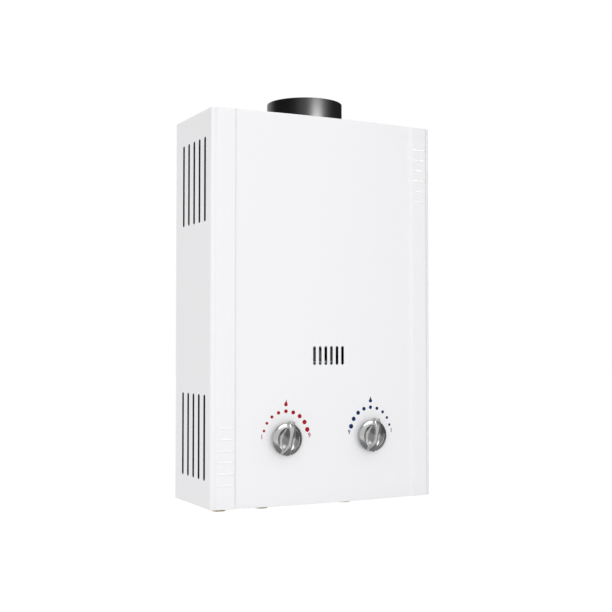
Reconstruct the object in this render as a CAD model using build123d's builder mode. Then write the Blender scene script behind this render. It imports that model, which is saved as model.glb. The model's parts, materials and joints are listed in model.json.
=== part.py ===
# A wall-hung gas water heater with natural draught, modelled piece by piece in millimetres.
# X runs to the right as seen from the front, the front faces -Y, and Z is up.
# The wall is the plane Y = 0, and the origin is the middle of the four wall screws.
# Names that end in _H are heights above the casing's lower edge. Names that end in _OUT are
# distances out from the wall.

import os
from math import cos, radians, sin, sqrt

from build123d import *

os.makedirs("parts", exist_ok=True)

# Casing
CASE_W = 331.0
CASE_D = 128.0
CASE_H = 515.0
FRONT_BOW = 9.0
SHEET = 1.0
CORNER_R = 3.0
RETURN_W = 9.0
PAN_D = 12.0
COVER_BACK_OUT = 0.5
SHEET_GAP = 0.3

# Pressed strips and beads of the front
STRIP_MARGIN = 4.0
STRIP_W = 30.5
STRIP_RAMP = 4.0
STRIP_RISE = 2.5
BEAD_COUNT = 6
BEAD_PITCH = 14.6
BEAD_L = 24.0
BEAD_R = 1.6
BEAD_PROUD = 1.0
LOW_BEADS_H = 66.6
HIGH_BEADS_DROP = 69.0

# Slots
VIEW_COUNT = 6
VIEW_PITCH = 8.45
VIEW_W = 3.6
VIEW_TALL = 25.0
VIEW_DROP = 1.5
VENT_COUNT = 5
VENT_PITCH = 19.4
VENT_W = 6.8
VENT_TALL = 110.5
VENT_OUT = 68.3
VENT_END = 90.5
INTAKE_W = 5.0
INTAKE_L = 30.0
INTAKE_PITCH = 12.0
INTAKE_COUNT = 4
INTAKE_X = 116.0

# Wall fixing
WALL_HOLE_X = 100.0
WALL_HOLE_END = 25.0
WALL_HOLE_R = 3.3
HOOK_EYE_R = 6.0
HOOK_NECK_R = 3.0
HOOK_RISE = 10.0

# Flue
FLUE_SHIFT = 1.2
COLLAR_R = 51.3
COLLAR_WALL = 1.0
COLLAR_RISE = 30.0
HOOD_TOP_DROP = 27.0
HOOD_TOP_MARGIN = 2.7

# Combustion chamber, fins and hood
CHAMBER_W = 200.0
CHAMBER_ROOM = 19.0
HOOD_TALL = 98.0
CHAMBER_LIP = 6.0
CHAMBER_CORNER = 6.0
HOOD_BAND = 12.0
RELIEF_L = 44.0
RELIEF_T = 6.0
RELIEF_PITCH = 60.0
RELIEF_COUNT = 3
BAFFLE_L = 120.0
BAFFLE_D = 46.0
STRAP_W = 12.0
FIN_COUNT = 8
FIN_END_ROOM = 4.0
FIN_T = 0.8
FIN_TALL = 46.0
FIN_DROP = 28.0

# Water tube
TUBE_R = 8.0
TUBE_GAP = 0.1
WRAP_GAP = 0.2
PASS_PITCH = 26.0
LOOP_RISE = 60.0
SIDE_RUN_ROOM = 26.0
SHIFT_TOP_DROP = 25.0
SHIFT_TALL = 65.0
HOT_OUTLET_TOP_H = 46.0
NUT_AF = 27.0
NUT_T = 14.0

# Burner
FRAME_ROOM = 7.0
FRAME_TALL = 32.0
BAR_COUNT = 8
BAR_END_ROOM = 4.0
BAR_W = 14.0
BAR_NECK_W = 5.0
BAR_HEAD_W = 9.0
BAR_PROUD = 6.0
BAR_HEAD_T = 8.0
PORT_W = 3.0
PORT_DEEP = 4.0
THROAT_R = 4.5
THROAT_DEEP = 18.0
THROAT_RISE = 9.0
MANIFOLD_END_ROOM = 7.0
MANIFOLD_T = 12.0
MANIFOLD_TALL = 14.0
NOZZLE_AF = 7.0
NOZZLE_L = 5.0

# Sight glass and electrodes
WINDOW_W = 60.0
WINDOW_TALL = 18.0
WINDOW_RISE = 17.0
GLASS_T = 1.5
GLASS_LAP = 5.0
GLASS_FRAME_T = 1.0
GLASS_FRAME_W = 5.0
PROBE_R = 3.5
PROBE_L = 28.0
PROBE_INSIDE = 6.0
PROBE_PIN_R = 1.0
PROBE_PIN_L = 22.0
PROBE_RISE = 13.0
SENSOR_ROOM = 13.2
PROBE_SPACING = 15.0
BRACKET_T = 1.2

# Valves
VALVE_OUT = 60.0
VALVE_D = 44.0
VALVE_TALL = 40.0
KNOB_X = 64.0
KNOB_H = 87.0
GAS_LEFT = 40.0
GAS_RIGHT = 44.0
WATER_LEFT = 14.0
WATER_RIGHT = 28.0
BOSS_R = 13.0
BOSS_T = 8.0
CAST_EDGE = 2.0
OUTLET_WALL = 4.0
BONNET_W = 26.0
BONNET_T = 3.0
BONNET_R = 8.0
BONNET_L = 22.0
SPINDLE_R = 4.0
SPINDLE_FIT = 0.06
PLUG_R = 7.0
PLUG_L = 32.0
PLUG_FIT = 0.08
SEAT_L = 16.0
COVER_HOLE_R = 7.0

# Diaphragm, rod and switch
DISC_R = 30.0
DISC_RIM = 12.0
CHEST_R = 22.0
CHEST_DEEP = 8.0
DIAPHRAGM_T = 2.0
DIAPHRAGM_EYE_R = 14.0
PLATE_T = 3.0
ROD_R = 3.0
ROD_FIT = 0.1
COLLAR_DISC_R = 8.0
COLLAR_DISC_T = 3.0
GASKET_GAP = 0.3
PLUNGER_R = 9.0
PLUNGER_T = 4.0
PLUNGER_BORE_R = 10.0
PLUNGER_BORE_L = 26.0
BRIDGE_T = 4.0
BRIDGE_NECK_R = 10.0
COLLAR_DISC_OFF = 7.0
SWITCH_T = 10.0
SWITCH_D = 12.0
SWITCH_TALL = 20.0
SWITCH_OUT = 50.0
SWITCH_WALL = 1.0
BUTTON_W = 2.4
BUTTON_OUT = 54.0
BUTTON_HELD = 3.0

# Solenoid
SOLENOID_X = 84.0
SOLENOID_R = 12.0
SOLENOID_TALL = 34.0
SOLENOID_WALL = 4.0
CORE_R = 5.0
CORE_L = 20.0

# Connections below the casing
THREAD_R = 10.48
THREAD_BORE_R = 7.0
FITTING_DROP = 12.0
FITTING_HEX_AF = 24.0
FITTING_BORE_H = 6.0
DRAIN_X = 88.0
DRAIN_R = 7.0
DRAIN_LEG_H = 8.0
DRAIN_SHANK_R = 4.0
DRAIN_SHANK_L = 20.0
DRAIN_FIT = 0.08
DRAIN_HEAD_T = 4.0
DRAIN_WING_L = 15.0
DRAIN_WING_T = 3.0
DRAIN_WING_TALL = 14.0
PLATE_HOLE_GAP = 1.4

# Battery box
CELL_R = 17.1
CELL_L = 61.5
CELL_GAP = 0.4
CELL_SIDES = 24
BOX_WALL = 2.0
BOX_FRONT_ROOM = 15.0
BOX_RIM = 3.0
BOX_ROOM = 1.8
CONTACT_T = 0.6
CONTACT_TALL = 10.0
DOOR_T = 2.4
DOOR_GAP = 0.5
HINGE_LUG = 3.0
HINGE_PIN_R = 0.6
HINGE_FIT = 0.08

# Igniter module
MODULE_W = 34.0
MODULE_D = 24.0
MODULE_TALL = 66.0
MODULE_SIDE_ROOM = 6.5
MODULE_H = 62.0
MODULE_EDGE = 2.0
THERMOSTAT_R = 8.0
THERMOSTAT_T = 7.0
OVERHEAT_X = 60.0
OVERHEAT_RISE = 120.0
EAR_L = 24.0
EAR_W = 11.0

# Leads
LEAD_R = 1.5
LEAD_BEND = 4.0
HIGH_LEAD_ROOM = 12.0
HIGH_LEAD_OUT = 13.0
HIGH_LEAD_SPACING = 8.0
HIGH_LEAD_RISE = 24.0
SWITCH_LEAD_OUT = 20.0
SWITCH_LEAD_DROP = 6.0
SOLENOID_LEAD_OUT = 12.0
SOLENOID_LEAD_DROP = 12.0
BATTERY_LEAD_X = 20.0
BATTERY_LEAD_OUT = 8.0
BATTERY_LEAD_RISE = 10.0

# Chamber brackets
BRACKET_W = 20.0
BRACKET_FOOT = 12.0
BRACKET_SHEET = 2.0
BRACKET_X = 70.0
LOW_BRACKET_RISE = 20.0
HIGH_BRACKET_RISE = 120.0

# Knobs
KNOB_R = 21.5
KNOB_NECK_R = 18.5
KNOB_NECK_T = 4.0
KNOB_GAP = 1.2
KNOB_DISC_T = 9.0
KNOB_TALL = 18.5
KNOB_LIP = 2.6
SCOOP_DEEP = 4.0
SCOOP_SIDES = 30
GRIP_END_W = 13.0
GRIP_WAIST_W = 6.0
GRIP_REACH = 18.0
GRIP_EDGE = 4.0
GRIP_SLOPE = 6.0
NUB_W = 7.0
NUB_PROUD = 2.5
NUB_T = 5.0
NUB_LIFT = 1.0
KNOB_TURN = 13.5
KNOB_BORE_L = 9.0


def up(height):
    """Z of a height above the casing's lower edge."""
    return height - CASE_H / 2


BOW_R = ((CASE_W / 2) ** 2 + FRONT_BOW**2) / (2 * FRONT_BOW)
BOW_CENTRE_OUT = CASE_D + FRONT_BOW - BOW_R


def front_out(x):
    """Distance from the wall to the bowed front at X, on the plain panel between the strips."""
    return BOW_CENTRE_OUT + sqrt(BOW_R**2 - x**2)


def eight_sided(radius, mode=Mode.ADD):
    """A section with eight flats, square to the axes, where a round one would be hidden."""
    return RegularPolygon(radius, 8, major_radius=False, rotation=22.5, mode=mode)


def six_sided(across_flats):
    """The section of a nut or a hexagon bar."""
    return RegularPolygon(across_flats / 2, 6, major_radius=False)


def save(piece, name):
    """Label a finished piece and write its file."""
    piece.part.label = name
    export_step(piece.part, f"parts/{name}.step")


# Places worked out from the sizes above
STRIP_OUTER_X = CASE_W / 2 - STRIP_MARGIN
STRIP_INNER_X = STRIP_OUTER_X - STRIP_W
BEADS_X = (STRIP_OUTER_X + STRIP_INNER_X) / 2
FLUE_OUT = CASE_D / 2 + FLUE_SHIFT
CHAMBER_D = CASE_D - 2 * CHAMBER_ROOM
CHAMBER_FRONT_OUT = FLUE_OUT + CHAMBER_D / 2
CHAMBER_BACK_OUT = FLUE_OUT - CHAMBER_D / 2
TOP_SHEET_H = CASE_H - 2 * SHEET
BOTTOM_TOP_H = 2 * SHEET
VALVE_FRONT_OUT = VALVE_OUT + VALVE_D / 2
CORNER_SHARE = 2 - sqrt(2)
VALVE_BASE_H = KNOB_H - VALVE_TALL / 2
VALVE_TOP_H = KNOB_H + VALVE_TALL / 2
BOSS_BASE_H = VALVE_BASE_H - BOSS_T
FRAME_BASE_H = VALVE_TOP_H + SOLENOID_TALL + FRAME_ROOM
THROAT_H = FRAME_BASE_H + THROAT_RISE
CHAMBER_BASE_H = FRAME_BASE_H + FRAME_TALL
WINDOW_H = CHAMBER_BASE_H + WINDOW_RISE
VIEW_H = WINDOW_H - VIEW_DROP
PROBE_H = CHAMBER_BASE_H + PROBE_RISE
LOOP_H = CHAMBER_BASE_H + LOOP_RISE
SHIFT_TOP_H = LOOP_H - SHIFT_TOP_DROP
SHIFT_BASE_H = SHIFT_TOP_H - SHIFT_TALL
OVERHEAT_H = CHAMBER_BASE_H + OVERHEAT_RISE
HOOD_TOP_H = CASE_H - HOOD_TOP_DROP
CHAMBER_TOP_H = HOOD_TOP_H - HOOD_TALL
FIN_H = CHAMBER_TOP_H - FIN_DROP
MODULE_X = CASE_W / 2 - MODULE_SIDE_ROOM - MODULE_W / 2
FIN_PITCH = (CHAMBER_W - 2 * FIN_END_ROOM) / FIN_COUNT
BAR_PITCH = (CHAMBER_W - 2 * BAR_END_ROOM) / BAR_COUNT
MANIFOLD_W = CHAMBER_W - 2 * MANIFOLD_END_ROOM
SIDE_RUN_X = CHAMBER_W / 2 + SIDE_RUN_ROOM
SENSOR_OUT = CHAMBER_FRONT_OUT - SENSOR_ROOM
SPARK_OUT = SENSOR_OUT - PROBE_SPACING
BOX_FRONT_OUT = CASE_D - BOX_FRONT_ROOM


def casing_plan(inset, rise, back_out):
    """Plan of the casing: flat sides, bowed front and two raised strips, drawn inset by a sheet."""
    half = CASE_W / 2 - inset

    def at(x, lift):
        return (x, -(front_out(x) + lift - inset))

    with BuildSketch() as plan:
        with BuildLine():
            Polyline(at(-half, 0), (-half, -back_out), (half, -back_out), at(half, 0))
            for side in (-1, 1):
                Polyline(
                    at(half * side, 0),
                    at(STRIP_OUTER_X * side, 0),
                    at((STRIP_OUTER_X - STRIP_RAMP) * side, rise),
                    at((STRIP_INNER_X + STRIP_RAMP) * side, rise),
                    at(STRIP_INNER_X * side, 0),
                )
            ThreePointArc(at(-STRIP_INNER_X, 0), at(0, 0), at(STRIP_INNER_X, 0))
        make_face()
        columns = plan.vertices().group_by(Axis.X)
        corners = [column.sort_by(Axis.Y)[0] for column in (columns[0], columns[-1])]
        fillet(corners, CORNER_R - inset)
    return plan.sketch


def plate_plan():
    """Plan of the plates that close the casing above and below, clear of the cover's inside."""
    inset = SHEET + SHEET_GAP
    half = CASE_W / 2 - inset

    def at(x):
        return (x, -(front_out(x) - inset))

    with BuildSketch() as plan:
        with BuildLine():
            Polyline(at(-half), (-half, 0), (half, 0), at(half))
            ThreePointArc(at(-half), at(0), at(half))
        make_face()
        columns = plan.vertices().group_by(Axis.X)
        corners = [column.sort_by(Axis.Y)[0] for column in (columns[0], columns[-1])]
        chamfer(corners, CORNER_R)
    return plan.sketch


# Front cover: one pressed sheet, open behind, with return flanges above and below
PAST_WALL = -5.0
COVER_PUNCH = FRONT_BOW + STRIP_RISE
with BuildPart() as front_cover:
    with BuildSketch(Plane.XY.offset(up(0))):
        add(casing_plan(0, STRIP_RISE, COVER_BACK_OUT))
    extrude(amount=CASE_H)
    # short beads pressed out of the strips, low on the left and high on the right
    for side, middle_h in ((-1, LOW_BEADS_H), (1, CASE_H - HIGH_BEADS_DROP)):
        bead_x = BEADS_X * side
        bead_out = front_out(bead_x) + STRIP_RISE - BEAD_R + BEAD_PROUD
        with BuildSketch(Plane.YZ.offset(bead_x - BEAD_L / 2)):
            with Locations((-bead_out, up(middle_h))):
                with GridLocations(BEAD_PITCH, BEAD_PITCH, 1, BEAD_COUNT):
                    eight_sided(BEAD_R)
        extrude(amount=BEAD_L)
    with BuildSketch(Plane.XY.offset(up(SHEET))):
        add(casing_plan(SHEET, STRIP_RISE, PAST_WALL))
    extrude(amount=CASE_H - 2 * SHEET, mode=Mode.SUBTRACT)
    with BuildSketch(Plane.XY.offset(up(0))):
        with Locations((0, -(CASE_D - SHEET - RETURN_W + PAST_WALL) / 2)):
            Rectangle(CASE_W - 2 * SHEET - 2 * RETURN_W, CASE_D - SHEET - RETURN_W - PAST_WALL)
    extrude(amount=CASE_H, mode=Mode.SUBTRACT)
    # viewing slots in front of the burner
    with BuildSketch(Plane.XZ.offset(CASE_D)) as view_slots:
        with Locations((0, up(VIEW_H))):
            with GridLocations(VIEW_PITCH, VIEW_PITCH, VIEW_COUNT, 1):
                Rectangle(VIEW_W, VIEW_TALL)
        chamfer(view_slots.vertices(), VIEW_W / 4)
    extrude(amount=COVER_PUNCH, mode=Mode.SUBTRACT)
    # holes for the two spindles
    with BuildSketch(Plane.XZ.offset(CASE_D)):
        with Locations((-KNOB_X, up(KNOB_H)), (KNOB_X, up(KNOB_H))):
            Circle(COVER_HOLE_R)
    extrude(amount=COVER_PUNCH, mode=Mode.SUBTRACT)
    # tall slots through both sides
    with BuildSketch(Plane.YZ.offset(-CASE_W / 2 - SHEET)):
        with Locations((-VENT_OUT, up(VENT_END)), (-VENT_OUT, up(CASE_H - VENT_END))):
            with GridLocations(VENT_PITCH, VENT_PITCH, VENT_COUNT, 1):
                Rectangle(VENT_W, VENT_TALL)
    extrude(amount=CASE_W + 2 * SHEET, mode=Mode.SUBTRACT)
save(front_cover, "front_cover")

# Back plate: a shallow pan with wall holes and a hook eye
PAN_W = CASE_W - 2 * (SHEET + SHEET_GAP)
PAN_H = TOP_SHEET_H - BOTTOM_TOP_H
with BuildPart() as back_plate:
    with BuildSketch(Plane.XZ):
        with Locations((0, up(BOTTOM_TOP_H) + PAN_H / 2)):
            Rectangle(PAN_W, PAN_H)
    extrude(amount=PAN_D)
    with BuildSketch(Plane.XZ.offset(SHEET)):
        with Locations((0, up(BOTTOM_TOP_H) + PAN_H / 2)):
            Rectangle(PAN_W - 2 * SHEET, PAN_H - 2 * SHEET)
    extrude(amount=PAN_D, mode=Mode.SUBTRACT)
    with BuildSketch(Plane.XZ):
        with GridLocations(2 * WALL_HOLE_X, CASE_H - 2 * WALL_HOLE_END, 2, 2):
            Circle(WALL_HOLE_R)
        with Locations((0, up(CASE_H - WALL_HOLE_END))):
            Circle(HOOK_EYE_R)
        with Locations((0, up(CASE_H - WALL_HOLE_END) + HOOK_RISE / 2)):
            Rectangle(2 * HOOK_NECK_R, HOOK_RISE)
    extrude(amount=SHEET, mode=Mode.SUBTRACT)
save(back_plate, "back_plate")

# Top plate: closes the casing under the cover's upper flange, round the collar
COLLAR_OUTER_R = COLLAR_R + COLLAR_WALL
with BuildPart() as top_plate:
    with BuildSketch(Plane.XY.offset(up(TOP_SHEET_H))):
        add(plate_plan())
        with Locations((0, -FLUE_OUT)):
            Circle(COLLAR_OUTER_R + SHEET_GAP, mode=Mode.SUBTRACT)
    extrude(amount=SHEET)
save(top_plate, "top_plate")

# Bottom plate: carries the connections and the battery box, with slots for burner air
FITTING_X = {"hot_outlet": -SIDE_RUN_X, "gas_inlet": -KNOB_X, "cold_inlet": KNOB_X}
BOX_IN_L = CELL_L + BOX_ROOM + 2 * CONTACT_T
BOX_IN_D = 4 * CELL_R + 3 * CELL_GAP
BOX_IN_TALL = 2 * CELL_R + 2 * CELL_GAP
BOX_L = BOX_IN_L + 2 * BOX_WALL
BOX_D = BOX_IN_D + 2 * BOX_WALL
BOX_OUT = BOX_FRONT_OUT - BOX_D / 2
DRAIN_HOLE_W = DRAIN_WING_L + 2 * PLATE_HOLE_GAP
with BuildPart() as bottom_plate:
    with BuildSketch(Plane.XY.offset(up(SHEET))):
        add(plate_plan())
        for x in FITTING_X.values():
            with Locations((x, -VALVE_OUT)):
                eight_sided(THREAD_R + PLATE_HOLE_GAP, mode=Mode.SUBTRACT)
        with Locations((DRAIN_X, -VALVE_OUT)):
            Rectangle(DRAIN_HOLE_W, DRAIN_HOLE_W, mode=Mode.SUBTRACT)
        with Locations((0, -BOX_OUT)):
            Rectangle(BOX_L, BOX_D, mode=Mode.SUBTRACT)
        for side in (-1, 1):
            with Locations((INTAKE_X * side, -BOX_OUT - INTAKE_L / 2)):
                with GridLocations(INTAKE_PITCH, INTAKE_L, INTAKE_COUNT, 1):
                    Rectangle(INTAKE_W, INTAKE_L, mode=Mode.SUBTRACT)
        with Locations((0, -CHAMBER_BACK_OUT)):
            with GridLocations(INTAKE_L + INTAKE_PITCH, INTAKE_L, INTAKE_COUNT, 1):
                Rectangle(INTAKE_L, INTAKE_W, mode=Mode.SUBTRACT)
    extrude(amount=SHEET)
save(bottom_plate, "bottom_plate")

# Flue collar: an enamelled ring that stands on the hood and rises through the top plate
COLLAR_TOP_H = CASE_H + COLLAR_RISE
with BuildPart() as flue_collar:
    with BuildSketch(Plane.XY.offset(up(HOOD_TOP_H))):
        with Locations((0, -FLUE_OUT)):
            Circle(COLLAR_OUTER_R)
            Circle(COLLAR_R, mode=Mode.SUBTRACT)
    extrude(amount=COLLAR_TOP_H - HOOD_TOP_H)
save(flue_collar, "flue_collar")

# Draught hood: folded sheet that gathers the flue gas from the chamber to the round collar
HOOD_TOP_W = 2 * (COLLAR_OUTER_R + HOOD_TOP_MARGIN)


def hood_side(width, top_width, inset):
    """Side view of the hood: an upright band, then a slope in or out to the flat top."""
    with BuildSketch() as side_view:
        with BuildLine():
            Polyline(
                (-width / 2 + inset, up(CHAMBER_TOP_H)),
                (-width / 2 + inset, up(CHAMBER_TOP_H + HOOD_BAND)),
                (-top_width / 2 + inset, up(HOOD_TOP_H - inset)),
                (top_width / 2 - inset, up(HOOD_TOP_H - inset)),
                (width / 2 - inset, up(CHAMBER_TOP_H + HOOD_BAND)),
                (width / 2 - inset, up(CHAMBER_TOP_H)),
                close=True,
            )
        make_face()
    return side_view.sketch


def hood_body(inset):
    """Solid of the hood's outside, or of its inside when inset by the sheet."""
    with BuildPart() as body:
        with BuildSketch(Plane.XZ.offset(FLUE_OUT)):
            add(hood_side(CHAMBER_W, HOOD_TOP_W, inset))
        extrude(amount=HOOD_TOP_W, both=True)
        with BuildSketch(Plane.YZ):
            with Locations((-FLUE_OUT, 0)):
                add(hood_side(CHAMBER_D, HOOD_TOP_W, inset))
        extrude(amount=CHAMBER_W, both=True, mode=Mode.INTERSECT)
    return body.part


with BuildPart() as draft_hood:
    add(hood_body(0))
    with BuildSketch(Plane.XY.offset(up(CHAMBER_TOP_H))):
        with Locations((0, -FLUE_OUT)):
            Rectangle(CHAMBER_W, CHAMBER_D + 2 * CHAMBER_LIP)
    extrude(amount=SHEET)
    add(hood_body(SHEET), mode=Mode.SUBTRACT)
    with BuildSketch(Plane.XY.offset(up(HOOD_TOP_H))):
        with Locations((0, -FLUE_OUT)):
            Circle(COLLAR_R)
    extrude(amount=-2 * SHEET, mode=Mode.SUBTRACT)
    # relief slots let the flue gas spill when the wind blows down the flue
    with BuildSketch(Plane.XZ.offset(CHAMBER_BACK_OUT - SHEET)):
        with Locations((0, up(CHAMBER_TOP_H + HOOD_BAND / 2))):
            with GridLocations(RELIEF_PITCH, RELIEF_T, RELIEF_COUNT, 1):
                Rectangle(RELIEF_L, RELIEF_T)
    extrude(amount=CHAMBER_D + 2 * SHEET, mode=Mode.SUBTRACT)
save(draft_hood, "draft_hood")

# Draught baffle: a flat plate that hangs across the hood on two straps
with BuildPart() as draft_baffle:
    with BuildSketch(Plane.XY.offset(up(CHAMBER_TOP_H + HOOD_BAND - SHEET))):
        with Locations((0, -FLUE_OUT)):
            Rectangle(BAFFLE_L, BAFFLE_D)
            with GridLocations(BAFFLE_L - STRAP_W, STRAP_W, 2, 1):
                Rectangle(STRAP_W, CHAMBER_D - 2 * SHEET)
    extrude(amount=SHEET)
save(draft_baffle, "draft_baffle")

# Combustion chamber: a sheet shell, open above and below, with lips and tube holes
PASS_OUTS = [FLUE_OUT + PASS_PITCH * step for step in (-1, 0, 1)]


def chamber_plan(inset):
    """Plan of the chamber: a rectangle with cut corners, drawn inset by a sheet."""
    with Locations((0, -FLUE_OUT)):
        outline = Rectangle(CHAMBER_W - 2 * inset, CHAMBER_D - 2 * inset)
    chamfer(outline.vertices(), CHAMBER_CORNER - inset * CORNER_SHARE)
    return outline


with BuildPart() as combustion_chamber:
    with BuildSketch(Plane.XY.offset(up(CHAMBER_BASE_H))):
        chamber_plan(0)
    extrude(amount=CHAMBER_TOP_H - CHAMBER_BASE_H)
    for lip_h in (CHAMBER_BASE_H, CHAMBER_TOP_H - SHEET):
        with BuildSketch(Plane.XY.offset(up(lip_h))):
            with Locations((0, -FLUE_OUT)):
                Rectangle(CHAMBER_W, CHAMBER_D + 2 * CHAMBER_LIP)
        extrude(amount=SHEET)
    with BuildSketch(Plane.XY.offset(up(CHAMBER_BASE_H))):
        chamber_plan(SHEET)
    extrude(amount=CHAMBER_TOP_H - CHAMBER_BASE_H, mode=Mode.SUBTRACT)
    with BuildSketch(Plane.YZ.offset(-CHAMBER_W / 2 - SHEET)):
        for pass_out in PASS_OUTS:
            with Locations((-pass_out, up(FIN_H))):
                eight_sided(TUBE_R + TUBE_GAP)
    extrude(amount=CHAMBER_W + 2 * SHEET, mode=Mode.SUBTRACT)
    with BuildSketch(Plane.XZ.offset(CHAMBER_FRONT_OUT - 2 * SHEET)):
        with Locations((0, up(WINDOW_H))):
            Rectangle(WINDOW_W, WINDOW_TALL)
    extrude(amount=3 * SHEET, mode=Mode.SUBTRACT)
    with BuildSketch(Plane.YZ.offset(CHAMBER_W / 2 - 2 * SHEET)):
        with Locations((-SPARK_OUT, up(PROBE_H)), (-SENSOR_OUT, up(PROBE_H))):
            eight_sided(PROBE_R + TUBE_GAP)
    extrude(amount=3 * SHEET, mode=Mode.SUBTRACT)
save(combustion_chamber, "combustion_chamber")

# Fin pack: plates across the chamber, pierced by the three passes of the water tube
with BuildPart() as fin_pack:
    for n in range(FIN_COUNT):
        fin_x = FIN_PITCH * (n - (FIN_COUNT - 1) / 2)
        with BuildSketch(Plane.YZ.offset(fin_x - FIN_T / 2)):
            with Locations((-FLUE_OUT, up(FIN_H))):
                Rectangle(CHAMBER_D - 2 * SHEET, FIN_TALL)
            for pass_out in PASS_OUTS:
                with Locations((-pass_out, up(FIN_H))):
                    eight_sided(TUBE_R + TUBE_GAP, mode=Mode.SUBTRACT)
        extrude(amount=FIN_T)
save(fin_pack, "fin_pack")

# Water tube: up from the water valve, once round the chamber, three passes through the fins,
# and down the left side to the hot outlet
WRAP_X = CHAMBER_W / 2 + TUBE_R + WRAP_GAP
WRAP_BACK_OUT = CHAMBER_BACK_OUT - TUBE_R - WRAP_GAP
WRAP_FRONT_OUT = CHAMBER_FRONT_OUT + TUBE_R + WRAP_GAP
BEND_LEG = CHAMBER_CORNER + (TUBE_R + WRAP_GAP) * CORNER_SHARE
TURN_LEG = PASS_PITCH / 4
TURN_X = CHAMBER_W / 2 + 2 * TUBE_R
RISER_BASE_H = VALVE_TOP_H + SHEET


def mitred(ends, corners):
    """Points of a centre line: each corner is cut by a short straight, as long as its leg asks."""
    places = [Vector(*place) for place in (ends[0], *[corner[:3] for corner in corners], ends[1])]
    points = [places[0]]
    for n, corner in enumerate(corners, start=1):
        for neighbour in (places[n - 1], places[n + 1]):
            points.append(places[n] + (neighbour - places[n]).normalized() * corner[3])
    points.append(places[-1])
    return [(point.X, -point.Y, up(point.Z)) for point in points]


tube_ends = [(WRAP_X, VALVE_OUT, RISER_BASE_H), (-SIDE_RUN_X, VALVE_OUT, HOT_OUTLET_TOP_H)]
tube_corners = [
    (WRAP_X, VALVE_OUT, LOOP_H, BEND_LEG),
    (WRAP_X, WRAP_BACK_OUT, LOOP_H, BEND_LEG),
    (-WRAP_X, WRAP_BACK_OUT, LOOP_H, BEND_LEG),
    (-WRAP_X, WRAP_FRONT_OUT, LOOP_H, BEND_LEG),
    (SIDE_RUN_X, WRAP_FRONT_OUT, LOOP_H, BEND_LEG),
    (SIDE_RUN_X, PASS_OUTS[0], LOOP_H, BEND_LEG),
    (SIDE_RUN_X, PASS_OUTS[0], FIN_H, BEND_LEG),
    (-TURN_X, PASS_OUTS[0], FIN_H, TURN_LEG),
    (-TURN_X, PASS_OUTS[1], FIN_H, TURN_LEG),
    (TURN_X, PASS_OUTS[1], FIN_H, TURN_LEG),
    (TURN_X, PASS_OUTS[2], FIN_H, TURN_LEG),
    (-SIDE_RUN_X, PASS_OUTS[2], FIN_H, BEND_LEG),
    (-SIDE_RUN_X, PASS_OUTS[2], SHIFT_TOP_H, BEND_LEG),
    (-SIDE_RUN_X, VALVE_OUT, SHIFT_BASE_H, BEND_LEG),
]
with BuildPart() as water_tube:
    with BuildLine() as tube_line:
        Polyline(*mitred(tube_ends, tube_corners))
    with BuildSketch(Plane(origin=tube_line.line @ 0, z_dir=tube_line.line % 0)):
        eight_sided(TUBE_R)
    sweep(transition=Transition.RIGHT)
save(water_tube, "water_tube")

# Union nuts that join the water tube to the water valve and to the hot outlet
with BuildPart() as union_nuts:
    for x, out, height in tube_ends:
        with BuildSketch(Plane.XY.offset(up(height))):
            with Locations((x, -out)):
                six_sided(NUT_AF)
                eight_sided(TUBE_R + TUBE_GAP, mode=Mode.SUBTRACT)
        extrude(amount=NUT_T)
save(union_nuts, "union_nuts")

# Brackets that carry the chamber from the back plate
with BuildPart() as chamber_brackets:
    for height in (CHAMBER_BASE_H + LOW_BRACKET_RISE, CHAMBER_BASE_H + HIGH_BRACKET_RISE):
        for side in (-1, 1):
            with BuildSketch(Plane.YZ.offset(BRACKET_X * side - BRACKET_W / 2)):
                with BuildLine():
                    Polyline(
                        (-SHEET, up(height)),
                        (-SHEET, up(height + BRACKET_FOOT)),
                        (-SHEET - BRACKET_SHEET, up(height + BRACKET_FOOT)),
                        (-SHEET - BRACKET_SHEET, up(height + BRACKET_SHEET)),
                        (-CHAMBER_BACK_OUT + BRACKET_SHEET, up(height + BRACKET_SHEET)),
                        (-CHAMBER_BACK_OUT + BRACKET_SHEET, up(height + BRACKET_FOOT)),
                        (-CHAMBER_BACK_OUT, up(height + BRACKET_FOOT)),
                        (-CHAMBER_BACK_OUT, up(height)),
                        close=True,
                    )
                make_face()
            extrude(amount=BRACKET_W)
save(chamber_brackets, "chamber_brackets")

# Sight glass behind the viewing slots, with its clamping frame
GLASS_W = WINDOW_W + 2 * GLASS_LAP
GLASS_TALL = WINDOW_TALL + 2 * GLASS_LAP
with BuildPart() as sight_glass:
    with BuildSketch(Plane.XZ.offset(CHAMBER_FRONT_OUT)):
        with Locations((0, up(WINDOW_H))):
            Rectangle(GLASS_W, GLASS_TALL)
    extrude(amount=GLASS_T)
save(sight_glass, "sight_glass")

with BuildPart() as sight_glass_frame:
    with BuildSketch(Plane.XZ.offset(CHAMBER_FRONT_OUT)):
        with Locations((0, up(WINDOW_H))):
            Rectangle(GLASS_W + 2 * GLASS_FRAME_W, GLASS_TALL + 2 * GLASS_FRAME_T)
    extrude(amount=GLASS_T + GLASS_FRAME_T)
    with BuildSketch(Plane.XZ.offset(CHAMBER_FRONT_OUT)):
        with Locations((0, up(WINDOW_H))):
            Rectangle(GLASS_W + 2 * TUBE_GAP, GLASS_TALL + 2 * TUBE_GAP)
    extrude(amount=GLASS_T, mode=Mode.SUBTRACT)
    with BuildSketch(Plane.XZ.offset(CHAMBER_FRONT_OUT)):
        with Locations((0, up(WINDOW_H))):
            Rectangle(WINDOW_W, WINDOW_TALL)
    extrude(amount=GLASS_T + GLASS_FRAME_T, mode=Mode.SUBTRACT)
save(sight_glass_frame, "sight_glass_frame")

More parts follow.
